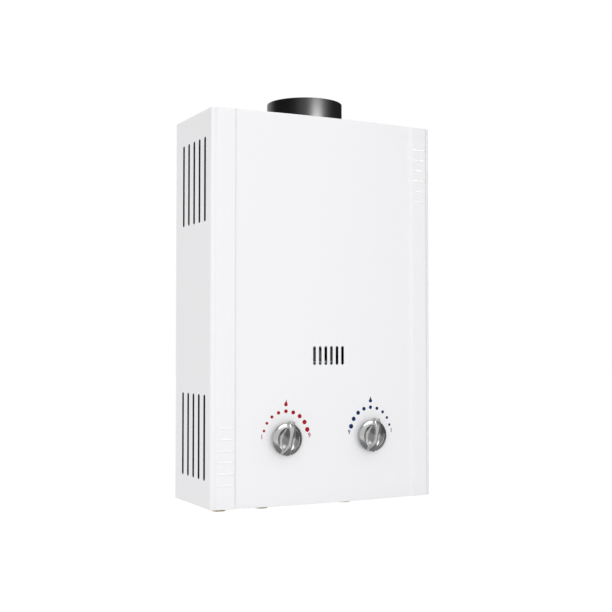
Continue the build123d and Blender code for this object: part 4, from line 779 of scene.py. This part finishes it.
# %% Height of the knob's face
knob_low, knob_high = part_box("gas_knob")
KNOB_R = 21.5 * MM
KNOB_BACK = -knob_high.y
KNOB_TALL = knob_high.y - knob_low.y
KNOB_TURN = math.radians(13.5)
LIP_H = 11.5 * MM
LIP_ROUND = 1.1 * MM
LIP_FALL = 4.2 * MM
LIP_FROM = 0.5
NECK_R = 18.5 * MM
NECK_T = 4 * MM
UNDER_ROUND = 0.8 * MM
SCOOP_DEEP = 7 * MM
SCOOP_REACH = 15.5 * MM
SCOOP_HALF_L = 15.5 * MM
GRIP_RAMP = 2.5 * MM
WAIST_W = 4 * MM
GRIP_END_W = 10 * MM
GRIP_REACH = 18 * MM
GRIP_ROUND = 2 * MM
SHOULDER_DROP = 0.45 * GRIP_ROUND
CREST_FALL_TO_NUB = 2.3
CREST_FALL_AWAY = 3.5
WALL_FALL = 3.5


def grip_half(y):
    """Half the width of the ridge at y along it."""
    share = min(abs(y) / GRIP_REACH, 1.0) ** 2
    return (WAIST_W + (GRIP_END_W - WAIST_W) * share) / 2


def crest(y):
    """Height of the ridge's top at y along it: an arch that falls sooner towards the nub."""
    fall = (abs(y) / KNOB_R) ** (CREST_FALL_TO_NUB if y > 0 else CREST_FALL_AWAY)
    return KNOB_TALL - (KNOB_TALL - LIP_H) * fall


def knob_height(x, y):
    """Height of the knob's face over its back at (x, y), where y runs towards the pointer."""
    edge = grip_half(y)
    past = max(math.hypot(x, y) / KNOB_R - LIP_FROM, 0.0) / (1 - LIP_FROM)
    lip = LIP_H - LIP_FALL * past**2
    if abs(x) <= edge:
        shoulder = max(abs(x) - (edge - GRIP_ROUND), 0.0) / GRIP_ROUND
        return max(crest(y) - SHOULDER_DROP * shoulder**2, lip)
    along = max(1 - (y / SCOOP_HALF_L) ** 2, 0.0)
    room = SCOOP_REACH * math.sqrt(along) - edge
    deep = SCOOP_DEEP * along * soft_step(room / GRIP_RAMP - 1)
    t = min((abs(x) - edge) / max(room, GRIP_RAMP), 1.0)
    wall = max(crest(y) - SHOULDER_DROP - lip, 0.0) * (1 - t) ** WALL_FALL
    return lip + wall - 4 * deep * t * (1 - t)


print("knob stands", round(KNOB_TALL, 4), "out of the front")

# %% Knob meshes
KNOB_RINGS = 56
KNOB_SPOKES = 192
LIP_STEPS = 5
KNOB_UNDER = ((KNOB_R, NECK_T + UNDER_ROUND), (KNOB_R - UNDER_ROUND, NECK_T), (NECK_R, NECK_T),
              (NECK_R, 0.0))
spoke_angles = [2 * math.pi * spoke / KNOB_SPOKES for spoke in range(KNOB_SPOKES)]


def knob_ring(r):
    """The (x, y) places of one ring of the knob's grid."""
    return [(r * math.cos(angle), r * math.sin(angle)) for angle in spoke_angles]


def knob_piece(name):
    """A knob round its own axis: its face, its rounded lip and its back, ring by ring."""
    points = [(0.0, 0.0, knob_height(0.0, 0.0))]
    for ring in range(1, KNOB_RINGS + 1):
        places = knob_ring((KNOB_R - LIP_ROUND) * ring / KNOB_RINGS)
        points += [(x, y, knob_height(x, y)) for x, y in places]
    for n in range(1, LIP_STEPS + 1):
        turn = math.pi / 2 * n / LIP_STEPS
        drop = LIP_ROUND * (1 - math.cos(turn))
        places = knob_ring(KNOB_R - LIP_ROUND * (1 - math.sin(turn)))
        points += [(x, y, knob_height(x, y) - drop) for x, y in places]
    for r, height in KNOB_UNDER:
        points += [(x, y, height) for x, y in knob_ring(r)]
    faces = [(0, 1 + spoke, 1 + (spoke + 1) % KNOB_SPOKES) for spoke in range(KNOB_SPOKES)]
    total = KNOB_RINGS + LIP_STEPS + len(KNOB_UNDER)
    for ring in range(total - 1):
        for spoke in range(KNOB_SPOKES):
            nxt = (spoke + 1) % KNOB_SPOKES
            a = 1 + ring * KNOB_SPOKES
            faces.append((a + spoke, a + KNOB_SPOKES + spoke, a + KNOB_SPOKES + nxt, a + nxt))
    last = 1 + (total - 1) * KNOB_SPOKES
    faces.append([last + spoke for spoke in reversed(range(KNOB_SPOKES))])
    piece = new_piece(name, points, faces)
    clean(piece)
    return piece


print("points in one knob's grid:", 1 + (KNOB_RINGS + LIP_STEPS + len(KNOB_UNDER)) * KNOB_SPOKES)

# %% Nub and whole knobs
NUB_W = 7.5 * MM
NUB_L = 8 * MM
NUB_PROUD = 2.5 * MM
NUB_LOW = 3.5 * MM
NUB_HIGH = 12.5 * MM
NUB_ROUND = 2.2 * MM
NUB_ROUND_STEPS = 5
KNOB_CREASE = math.radians(60)


def block(name, low, high):
    """A plain box between two corners."""
    plan_corners = ((low[0], low[1]), (high[0], low[1]), (high[0], high[1]), (low[0], high[1]))
    return new_piece(name, [(x, y, z) for z in (low[2], high[2]) for x, y in plan_corners],
                     [(3, 2, 1, 0), (4, 5, 6, 7), (0, 1, 5, 4), (1, 2, 6, 5), (2, 3, 7, 6),
                      (3, 0, 4, 7)])


def nub_piece():
    """The pointer nub: a small rounded block across the rim."""
    tip = KNOB_R + NUB_PROUD
    nub = block("nub", (-NUB_W / 2, tip - NUB_L, NUB_LOW), (NUB_W / 2, tip, NUB_HIGH))
    rounding = nub.modifiers.new("rounding", "BEVEL")
    rounding.width = NUB_ROUND
    rounding.segments = NUB_ROUND_STEPS
    return baked(nub)


def joined(piece, other):
    """Adds the other piece's mesh to the first."""
    work = bmesh.new()
    work.from_mesh(piece.data)
    work.from_mesh(other.data)
    work.to_mesh(piece.data)
    work.free()
    bpy.data.objects.remove(other)
    return piece


knobs = []
for node, body, x in (("gas_knob", "gas_control", -KNOB_X),
                      ("water_knob", "water_control", KNOB_X)):
    knob = joined(knob_piece("dressed_" + node), nub_piece())
    stand = Matrix.Translation((x, -KNOB_BACK, KNOB_Z)) @ Matrix.Rotation(KNOB_TURN, 4, "Y")
    moved(knob, stand @ FACING_FRONT)
    smooth(knob, KNOB_CREASE)
    fit(knob, silver_plastic, body, "silver_plastic", node)
    knobs.append(knob)

# %% [markdown]
# ## The dials
#
# Nine dots lie round each knob: red ones for the flame, which grow to the right, and blue ones for
# the water, which grow to the left. They are printed on the sheet, so each is a thin disc. Nine
# discs could be placed by hand, but a node tree sets them out on an arc and grows them from five
# numbers, and a formula then lays them on the bowed front.

# %% Dial dots
INK_T = 0.1 * MM
DIAL_R = 31.5 * MM
DOT_COUNT = 9
DOT_SIDES = 28
DIAL_START = math.radians(167.5)
DIAL_SWEEP = math.radians(-155)
dot_tree = Tree("Dial dots", Count=int, Radius=float, Start=float, Sweep=float, First=float,
                Last=float, Material=bpy.types.Material)
index = dot_tree.node("GeometryNodeInputIndex").outputs[0]
share = dot_tree.math("DIVIDE", index, dot_tree.math("SUBTRACT", dot_tree.inputs["Count"], 1.0))
angle = dot_tree.math("ADD", dot_tree.inputs["Start"],
                      dot_tree.math("MULTIPLY", share, dot_tree.inputs["Sweep"]))
across = dot_tree.math("MULTIPLY", dot_tree.math("COSINE", angle), dot_tree.inputs["Radius"])
along = dot_tree.math("MULTIPLY", dot_tree.math("SINE", angle), dot_tree.inputs["Radius"])
dots = dot_tree.node("GeometryNodeMeshLine", Count=dot_tree.inputs["Count"])
spread = dot_tree.node("GeometryNodeSetPosition", Geometry=dots.outputs[0],
                       Position=dot_tree.spot(across, along))
gain = dot_tree.math("SUBTRACT", dot_tree.inputs["Last"], dot_tree.inputs["First"])
growth = dot_tree.math("ADD", dot_tree.inputs["First"], dot_tree.math("MULTIPLY", share, gain))
disc = dot_tree.node("GeometryNodeMeshCylinder", {"fill_type": "NGON"}, Vertices=DOT_SIDES,
                     Radius=1.0, Depth=1.0)
placed = dot_tree.node("GeometryNodeInstanceOnPoints", Points=spread.outputs[0],
                       Instance=disc.outputs[0], Scale=dot_tree.spot(growth, growth, INK_T))
dot_tree.finish(placed.outputs[0])
print("a dial's arc is", round(math.degrees(abs(DIAL_SWEEP)), 1), "degrees long")

# %% Dials on the front
def printed(piece, x, z):
    """Lays a flat piece, drawn round its own middle, on the bowed front at x and z."""
    for vertex in piece.data.vertices:
        across, along, depth = vertex.co
        vertex.co = (x + across, -(front_out(x + across) + depth + INK_T / 2), z + along)
    clean(piece)
    return piece


SMALL_DOT = 1.75 * MM
LARGE_DOT = 3.2 * MM
DIALS = (
    ("flame", -62.6 * MM, CASE_BASE + 91.5 * MM, red_ink, SMALL_DOT, LARGE_DOT),
    ("water", 65.1 * MM, CASE_BASE + 93.4 * MM, blue_ink, LARGE_DOT, SMALL_DOT),
)
for name, x, z, ink, first, last in DIALS:
    dial = dot_tree.make(name + "_dial_dots", Count=DOT_COUNT, Radius=DIAL_R, Start=DIAL_START,
                         Sweep=DIAL_SWEEP, First=first, Last=last, Material=ink)
    printed(dial, x, z)
    fit(dial, ink, "casing", "white_enamel")

# %% [markdown]
# ## Numbers and signs of the dials
#
# The two ends of each dial carry a number, and a small sign above tells flame from water. The
# numbers are Blender's own text made into a mesh. The signs are a flame and a drop of a generic
# kind, each from one formula.

# %% Numbers and signs
INK_SPREAD = 0.06 * MM


def number(text, size):
    """A number as a thin flat mesh round its own middle."""
    curve = bpy.data.curves.new("number_" + text, "FONT")
    curve.body = text
    curve.size = size
    curve.align_x = "CENTER"
    curve.align_y = "CENTER"
    curve.extrude = INK_T / 2
    curve.offset = INK_SPREAD
    holder = bpy.data.objects.new("number_" + text, curve)
    bpy.context.scene.collection.objects.link(holder)
    graph = bpy.context.evaluated_depsgraph_get()
    mesh = bpy.data.meshes.new_from_object(holder.evaluated_get(graph))
    bpy.data.objects.remove(holder)
    piece = bpy.data.objects.new("number_" + text, mesh)
    bpy.context.scene.collection.objects.link(piece)
    return piece


def flat_sign(name, outline):
    """A thin flat shape from its outline."""
    count = len(outline)
    points = [(x, y, z) for z in (-INK_T / 2, INK_T / 2) for x, y in outline]
    faces = [list(reversed(range(count))), list(range(count, 2 * count))]
    faces += [(n, (n + 1) % count, count + (n + 1) % count, count + n) for n in range(count)]
    return new_piece(name, points, faces)


DROP_POINTS = 40
DROP_PULL = 3
DROP_PINCH = 0.75
DROP_PINCH_FROM = 1.5


def drop_outline(radius, point, lean=0.0):
    """A drop: a circle drawn out to a point above, which may lean to one side."""
    outline = []
    for n in range(DROP_POINTS):
        angle = 2 * math.pi * n / DROP_POINTS - math.pi / 2
        rise = max(math.sin(angle), 0.0)
        pull = rise**DROP_PULL
        squeeze = 1 - DROP_PINCH * rise**DROP_PINCH_FROM
        outline.append((radius * math.cos(angle) * squeeze + lean * pull,
                        radius * math.sin(angle) + (point - radius) * pull))
    return outline


print("a drop's outline has", len(drop_outline(1.0, 2.0)), "points")

# %% Numbers and signs in place
NUMBER_SIZE = 8.5 * MM
NUMBER_REACH = 33.8 * MM
NUMBER_DROP = 1 * MM
SIGN_RISE = 40.5 * MM
SIGN_R = 2.6 * MM
FLAME_POINT = 6.2 * MM
FLAME_LEAN = 0.9 * MM
DROP_POINT = 5.8 * MM
for name, x, z, ink, first, last in DIALS:
    ends = ("1", "9") if first < last else ("9", "1")
    for text, side in zip(ends, (-1, 1)):
        sign = number(text, NUMBER_SIZE)
        printed(sign, x + side * NUMBER_REACH, z - NUMBER_DROP)
        sign.name = name + "_dial_number_" + text
        fit(sign, ink, "casing", "white_enamel")
SIGNS = (("flame_sign", drop_outline(SIGN_R, FLAME_POINT, FLAME_LEAN)),
         ("drop_sign", drop_outline(SIGN_R, DROP_POINT)))
for (name, shape), (_, x, z, ink, _, _) in zip(SIGNS, DIALS):
    sign = printed(flat_sign(name, shape), x, z + SIGN_RISE)
    fit(sign, ink, "casing", "white_enamel")

# %% [markdown]
# ## The water tube
#
# One copper tube runs up from the water valve, once round the chamber, three times through the
# fins and down to the hot outlet. It is bent, not mitred, so a node tree rounds the corners of its
# centre line and sweeps a circle along it.

# %% Centre line of the tube
chamber_low, chamber_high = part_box("combustion_chamber")
tube_low, tube_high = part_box("water_tube")
fin_low, fin_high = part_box("fin_pack")
TUBE_R = 8 * MM
FLUE_OUT = -(chamber_low.y + chamber_high.y) / 2
CHAMBER_HALF_D = 45 * MM
SIDE_X = tube_high.x - TUBE_R
VALVE_OUT = 60 * MM
FIN_Z = (fin_low.z + fin_high.z) / 2
PASS_PITCH = 26 * MM
VALVE_Z = CASE_BASE + 108 * MM
LOOP_Z = CASE_BASE + 240 * MM
JOG_HIGH_Z = CASE_BASE + 215 * MM
JOG_LOW_Z = CASE_BASE + 150 * MM
CLEAR = TUBE_R + 0.2 * MM
WRAP_X = chamber_high.x + CLEAR
WRAP_BACK = FLUE_OUT - CHAMBER_HALF_D - CLEAR
WRAP_FRONT = FLUE_OUT + CHAMBER_HALF_D + CLEAR
TURN_X = chamber_high.x + 2 * TUBE_R
near, middle, far = (FLUE_OUT + PASS_PITCH * n for n in (-1, 0, 1))
tube_line = [
    (WRAP_X, VALVE_OUT, VALVE_Z),
    (WRAP_X, VALVE_OUT, LOOP_Z),
    (WRAP_X, WRAP_BACK, LOOP_Z),
    (-WRAP_X, WRAP_BACK, LOOP_Z),
    (-WRAP_X, WRAP_FRONT, LOOP_Z),
    (SIDE_X, WRAP_FRONT, LOOP_Z),
    (SIDE_X, near, LOOP_Z),
    (SIDE_X, near, FIN_Z),
    (-TURN_X, near, FIN_Z),
    (-TURN_X, middle, FIN_Z),
    (TURN_X, middle, FIN_Z),
    (TURN_X, far, FIN_Z),
    (-SIDE_X, far, FIN_Z),
    (-SIDE_X, far, JOG_HIGH_Z),
    (-SIDE_X, VALVE_OUT, JOG_LOW_Z),
    (-SIDE_X, VALVE_OUT, tube_low.z),
]
print("corners of the tube:", len(tube_line) - 2)

# %% Swept tube
TUBE_BEND_R = 12.8 * MM
BEND_STEPS = 10
TUBE_SIDES = 24
tube_tree = Tree("Bent tube", Line=bpy.types.Mesh, Bend=float, Radius=float,
                 Material=bpy.types.Material)
as_curve = tube_tree.node("GeometryNodeMeshToCurve", at0=tube_tree.inputs["Line"])
bends = tube_tree.node("GeometryNodeFilletCurve", Curve=as_curve.outputs[0],
                       Radius=tube_tree.inputs["Bend"])
straight_fillet(bends, BEND_STEPS)
section = tube_tree.node("GeometryNodeCurvePrimitiveCircle", Resolution=TUBE_SIDES,
                         Radius=tube_tree.inputs["Radius"])
swept = tube_tree.node("GeometryNodeCurveToMesh", Curve=bends.outputs[0],
                       Profile_Curve=section.outputs[0], Fill_Caps=True)
tube_tree.finish(swept.outputs[0])

centre_line = bpy.data.meshes.new("centre line")
centre_line.from_pydata([(x, -out, z) for x, out, z in tube_line],
                        [(n, n + 1) for n in range(len(tube_line) - 1)], [])
tube = tube_tree.make("bent_tube", centre_line, Bend=TUBE_BEND_R, Radius=TUBE_R, Material=copper)
clean(tube)
smooth(tube)
fit(tube, copper, "casing", "copper", "water_tube")

# %% [markdown]
# ## The fins
#
# The real fin pack has some forty thin plates. They could be one block with a striped finish, but
# their edges catch the light one by one. Each is a plain sheet here, because the tube and the
# chamber hide everything but those edges, so a short node tree repeats one plate.

# %% Fins
FIN_COUNT = 43
FIN_T = 0.4 * MM
fin_tree = Tree("Fins", Count=int, Run=float, Thick=float, Deep=float, Tall=float,
                Material=bpy.types.Material)
plate = fin_tree.node("GeometryNodeMeshCube",
                      Size=fin_tree.spot(fin_tree.inputs["Thick"], fin_tree.inputs["Deep"],
                                         fin_tree.inputs["Tall"]))
gap = fin_tree.math("DIVIDE", fin_tree.inputs["Run"],
                    fin_tree.math("SUBTRACT", fin_tree.inputs["Count"], 1.0))
first_fin = fin_tree.math("MULTIPLY", fin_tree.inputs["Run"], -0.5)
places = fin_tree.node("GeometryNodeMeshLine", Count=fin_tree.inputs["Count"],
                       Start_Location=fin_tree.spot(first_fin), Offset=fin_tree.spot(gap))
pack = fin_tree.node("GeometryNodeInstanceOnPoints", Points=places.outputs[0],
                     Instance=plate.outputs[0])
fin_tree.finish(pack.outputs[0])
fins = fin_tree.make("fin_plates", Count=FIN_COUNT, Run=fin_high.x - fin_low.x - FIN_T,
                     Thick=FIN_T, Deep=fin_high.y - fin_low.y, Tall=fin_high.z - fin_low.z,
                     Material=copper)
moved(fins, Matrix.Translation((0, (fin_low.y + fin_high.y) / 2, FIN_Z)))
fit(fins, copper, "casing", "copper", "fin_pack")

# %% [markdown]
# ## Threaded connections
#
# The three connections end in half-inch pipe thread. A thread could be plain rings, but rings
# don't climb. So each piece is the frame's own shape with its round end turned down to the
# thread's root, and a spiral ridge swept round it by a node tree.

# %% Threads
THREAD_R = 10.48 * MM
THREAD_DEPTH = 1.0 * MM
THREAD_PITCH = 1.81 * MM
THREAD_STEPS = 48
RIDGE_SIDES = 6
RIDGE_R = 0.62 * THREAD_DEPTH
SHOULDER_Z = CASE_BASE + 1.5 * MM
WALL_SLACK = 0.2 * MM
thread_tree = Tree("Pipe thread", Turns=float, Radius=float, Height=float, Depth=float,
                   Material=bpy.types.Material)
spiral = thread_tree.node("GeometryNodeCurveSpiral", Resolution=THREAD_STEPS,
                          Rotations=thread_tree.inputs["Turns"],
                          Height=thread_tree.inputs["Height"])
for label in ("Start Radius", "End Radius"):
    thread_tree.tree.links.new(thread_tree.inputs["Radius"], spiral.inputs[label])
ridge = thread_tree.node("GeometryNodeCurvePrimitiveCircle", Resolution=RIDGE_SIDES,
                         Radius=thread_tree.inputs["Depth"])
wound = thread_tree.node("GeometryNodeCurveToMesh", Curve=spiral.outputs[0],
                         Profile_Curve=ridge.outputs[0], Fill_Caps=True)
thread_tree.finish(wound.outputs[0])


def root_turned(work, axis_x):
    """Draws the round end below the shoulder in to the thread's root."""
    for vertex in work.verts:
        away = Vector((vertex.co.x - axis_x, vertex.co.y + VALVE_OUT))
        if vertex.co.z < SHOULDER_Z and away.length > THREAD_R - WALL_SLACK:
            away *= (THREAD_R - THREAD_DEPTH) / away.length
            vertex.co.x, vertex.co.y = axis_x + away.x, -VALVE_OUT + away.y


for node in ("hot_outlet", "gas_inlet", "cold_inlet"):
    low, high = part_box(node)
    axis_x = (low.x + high.x) / 2
    piece = copy_of(node)
    edit(piece, lambda work: root_turned(work, axis_x))
    thread_run = CASE_BASE - low.z - THREAD_PITCH
    thread = thread_tree.make("thread", Turns=thread_run / THREAD_PITCH, Radius=THREAD_R - RIDGE_R,
                              Height=thread_run, Depth=RIDGE_R, Material=brass)
    moved(thread, Matrix.Translation((axis_x, -VALVE_OUT, low.z + THREAD_PITCH / 2)))
    clean(thread)
    joined(piece, thread)
    smooth(piece)
    fit(piece, brass, "casing", "brass_turned", node)

# %% [markdown]
# ## Screws
#
# The cover is held by four small cross-head screws, two in the flange above and two in the one
# below. One round head with a cross cut is made once, as each is alike, and a node tree repeats it
# along a line.

# %% One screw head
SCREW_R = 3.4 * MM
SCREW_TALL = 1.6 * MM
SCREW_STEPS = 32
SCREW_DOME = ((0.0, 1.0), (0.45, 0.94), (0.8, 0.68), (1.0, 0.22), (1.0, 0.0), (0.0, 0.0))
CROSS_W = 0.9 * MM
CROSS_L = 3.6 * MM
CROSS_DEEP = 1.0 * MM
dome = [(SCREW_R * across, SCREW_TALL * up) for across, up in SCREW_DOME]
screw = turned("screw head", dome, Vector((0, 0, 0)), SCREW_STEPS)
cross = []
for turn in (0, math.pi / 2):
    arm = block("cross", (-CROSS_L / 2, -CROSS_W / 2, SCREW_TALL - CROSS_DEEP),
                (CROSS_L / 2, CROSS_W / 2, 2 * SCREW_TALL))
    cross.append(moved(arm, Matrix.Rotation(turn, 4, "Z")))
punch(screw, cross)
clean(screw)
screw_head = screw.data
bpy.data.objects.remove(screw)
print("faces in one screw head:", len(screw_head.polygons))

# %% Screws in place
SCREW_X = 110 * MM
SCREW_OUT = CASE_D - RETURN_W / 2
FACING_DOWN = Matrix.Rotation(math.pi, 4, "X")
screw_tree = Tree("Row of screws", Head=bpy.types.Mesh, Count=int, Run=float,
                  Material=bpy.types.Material)
first_screw = screw_tree.math("MULTIPLY", screw_tree.inputs["Run"], -0.5)
between = screw_tree.math("DIVIDE", screw_tree.inputs["Run"],
                          screw_tree.math("SUBTRACT", screw_tree.inputs["Count"], 1.0))
spots = screw_tree.node("GeometryNodeMeshLine", Count=screw_tree.inputs["Count"],
                        Start_Location=screw_tree.spot(first_screw),
                        Offset=screw_tree.spot(between))
heads = screw_tree.node("GeometryNodeInstanceOnPoints", Points=spots.outputs[0],
                        Instance=screw_tree.inputs["Head"])
screw_tree.finish(heads.outputs[0])
# the fittings reach lower than the heads below, and the collar higher than those above
for name, z, facing in (("cover_screws_below", CASE_BASE, FACING_DOWN),
                        ("cover_screws_above", CASE_TOP, Matrix.Identity(4))):
    row = screw_tree.make(name, screw_head, Count=2, Run=2 * SCREW_X, Material=turned_steel)
    moved(row, Matrix.Translation((0, -SCREW_OUT, z)) @ facing)
    smooth(row)
    fit(row, turned_steel, "casing", "turned_steel")

# %% [markdown]
# ## The studio
#
# A plain pale floor lies below the heater, which hangs clear of it as it would on a wall. A white
# floor under a plain level of light would look grey. More light would bleach the heater, so the
# floor has a little glow instead, and the world a second, white strength. Light Path keeps both to
# what the camera, gloss and glass see, so the diffuse light on the heater stays plain.

# %% Floor
FLOOR_Z = CASE_BASE - 260 * MM
FLOOR_HALF = 14.0
FLOOR_GREY = 0.92
FLOOR_GLOW = 0.3
DULL = 0.9
FAINT_GLOSS = 0.1


def seen_directly(nodes, link):
    """1 for rays from the camera and for those that metal or glass passes on, 0 for the rest."""
    rays = nodes.new("ShaderNodeLightPath")
    seen = rays.outputs["Is Camera Ray"]
    for kind in ("Is Glossy Ray", "Is Transmission Ray"):
        either = nodes.new("ShaderNodeMath")
        either.operation = "MAXIMUM"
        link(seen, either.inputs[0])
        link(rays.outputs[kind], either.inputs[1])
        seen = either.outputs[0]
    return seen


floor = new_piece("floor", [(x * FLOOR_HALF, y * FLOOR_HALF, FLOOR_Z)
                            for x, y in ((-1, -1), (1, -1), (1, 1), (-1, 1))], [(0, 1, 2, 3)])
floor_paint = bpy.data.materials.new("pale floor")
floor_paint.use_nodes = True
nodes, link = floor_paint.node_tree.nodes, floor_paint.node_tree.links.new
paint = nodes["Principled BSDF"]
paint.inputs["Base Color"].default_value = (FLOOR_GREY, FLOOR_GREY, FLOOR_GREY, 1.0)
paint.inputs["Roughness"].default_value = DULL
paint.inputs["Specular IOR Level"].default_value = FAINT_GLOSS
glow = nodes.new("ShaderNodeEmission")
share = nodes.new("ShaderNodeMath")
share.operation = "MULTIPLY"
share.inputs[1].default_value = FLOOR_GLOW
laid = nodes.new("ShaderNodeAddShader")
link(seen_directly(nodes, link), share.inputs[0])
link(share.outputs[0], glow.inputs["Strength"])
link(paint.outputs[0], laid.inputs[0])
link(glow.outputs[0], laid.inputs[1])
link(laid.outputs[0], nodes["Material Output"].inputs["Surface"])
floor.data.materials.append(floor_paint)
print("floor at", round(FLOOR_Z, 3))

# %% World
WORLD_LIGHT = 0.8
WORLD_SEEN = 1.0
world = bpy.data.worlds.new("studio")
bpy.context.scene.world = world
world.use_nodes = True
nodes, link = world.node_tree.nodes, world.node_tree.links.new
nodes.clear()
mixed = nodes.new("ShaderNodeMixShader")
out = nodes.new("ShaderNodeOutputWorld")
link(seen_directly(nodes, link), mixed.inputs[0])
for place, strength in ((1, WORLD_LIGHT), (2, WORLD_SEEN)):
    sky = nodes.new("ShaderNodeBackground")
    sky.inputs["Color"].default_value = (1.0, 1.0, 1.0, 1.0)
    sky.inputs["Strength"].default_value = strength
    link(sky.outputs[0], mixed.inputs[place])
link(mixed.outputs[0], out.inputs[0])
print("world light", WORLD_LIGHT)

# %% [markdown]
# ## Lamps
#
# One large softbox at the left front lights the whole heater, together with the world, at a level
# at which its white enamel looks white and isn't bleached. It is hidden from gloss, so it makes no
# hot spot on the front. Gloss needs something to mirror, though: the bright stripe on the collar,
# the highlights on the knobs and the glints on the beads each come from a narrow lamp. Light
# linking keeps each of these to the pieces it is meant for, as a shield would in a studio. The
# beads' lamp gives gloss only.

# %% Lamps
def lamp(name, place, aim, size, power, size_y=None):
    """A soft rectangular lamp at a place, aimed at a point."""
    light = bpy.data.lights.new(name, "AREA")
    light.shape = "RECTANGLE"
    light.size = size
    light.size_y = size_y or size
    light.energy = power
    holder = bpy.data.objects.new(name, light)
    bpy.context.scene.collection.objects.link(holder)
    holder.location = place
    holder.rotation_mode = "QUATERNION"
    holder.rotation_quaternion = (Vector(aim) - Vector(place)).to_track_quat("-Z", "Y")
    return holder


MIDDLE = (0.0, -0.06, 0.0)
COLLAR_AIM = (0.0, -0.065, 0.262)
KNOBS_AIM = (0.0, -0.14, -0.17)
front = lamp("front softbox", (-0.97, -2.41, 0.0), MIDDLE, size=1.8, power=21.0)
front.visible_glossy = False
strip = lamp("strip for the collar", (0.294, -1.638, 0.6), COLLAR_AIM, size=0.8, power=52.0,
             size_y=0.3)
above = lamp("softbox above the knobs", (0.1, -1.1, 1.3), KNOBS_AIM, size=1.5, power=11.0,
             size_y=0.6)
glint = lamp("glint on the beads", (0.82, -0.95, 1.5), MIDDLE, size=1.8, power=24.0, size_y=0.2)
glint.visible_diffuse = False


def light_only(holder, pieces):
    """Keeps a lamp to these pieces, as a shield round a small lamp does."""
    lit = bpy.data.collections.new("lit by " + holder.name)
    for piece in pieces:
        lit.objects.link(piece)
    holder.light_linking.receiver_collection = lit


light_only(strip, [collar])
light_only(above, knobs)
light_only(glint, [cover])
print("watts:", {holder.name: holder.data.energy for holder in (front, strip, above, glint)})

# %% [markdown]
# ## Cards
#
# In an all-white room polished metal has nothing dark to mirror, and looks like chalk. A studio
# puts grey cards round it. Here one stands at the right, one lies on the floor, and two stand
# beside the collar. Only gloss and glass see them, and they cast no shadow.

# %% Dark cards
def dark_card(name, grey, corners):
    """A grey card that only polished things see."""
    paint = bpy.data.materials.new(name)
    paint.use_nodes = True
    shader = paint.node_tree.nodes["Principled BSDF"]
    shader.inputs["Base Color"].default_value = (grey, grey, grey, 1.0)
    shader.inputs["Roughness"].default_value = DULL
    card = new_piece(name, corners, [(0, 1, 2, 3)])
    card.data.materials.append(paint)
    card.visible_camera = False
    card.visible_diffuse = False
    card.visible_shadow = False


def standing(x, front_y, back_y, low, high):
    """Corners of a card that stands across x, between two depths and two heights."""
    return [(x, front_y, low), (x, back_y, low), (x, back_y, high), (x, front_y, high)]


CARD_LOW = FLOOR_Z + 5 * MM
RIGHT_X = 1.3
LEFT_X = -1.6
FRONT_Y = -1.0
BESIDE_X = 0.6
ABOVE_CASING = 0.32
dark_card("card_at_the_right", grey=0.08,
          corners=standing(RIGHT_X, FRONT_Y, back_y=0.6, low=CARD_LOW, high=0.8))
dark_card("card_on_the_floor", grey=0.36,
          corners=[(LEFT_X, FRONT_Y, CARD_LOW), (RIGHT_X, FRONT_Y, CARD_LOW),
                   (RIGHT_X, 0.0, CARD_LOW), (LEFT_X, 0.0, CARD_LOW)])
for side, x in (("left", -BESIDE_X), ("right", BESIDE_X)):
    dark_card("card_beside_the_collar_" + side, grey=0.02,
              corners=standing(x, front_y=-0.6, back_y=0.7, low=ABOVE_CASING, high=1.3))
print("cards on the right, below and beside the collar")

# %% [markdown]
# ## The camera
#
# The photograph was taken from the heater's left, a little below its middle and looking slightly
# up. Its place could be found by eye, but the corners of the casing in the photograph give the
# place and the lens together.

# %% Camera
EYE = Vector((-683.1 * MM, -1417.3 * MM, CASE_BASE + 211.6 * MM))
LENS = 63.94
SENSOR = 36.0
AZIMUTH = math.radians(26.89)
PITCH = math.radians(1.97)
camera_data = bpy.data.cameras.new("camera")
camera_data.lens = LENS
camera_data.sensor_width = SENSOR
camera = bpy.data.objects.new("camera", camera_data)
bpy.context.scene.collection.objects.link(camera)
camera.location = EYE
camera.rotation_euler = (math.pi / 2 + PITCH, 0.0, -AZIMUTH)
bpy.context.scene.camera = camera
bpy.context.scene.view_settings.view_transform = "Standard"
print("camera at", [round(part, 3) for part in EYE])
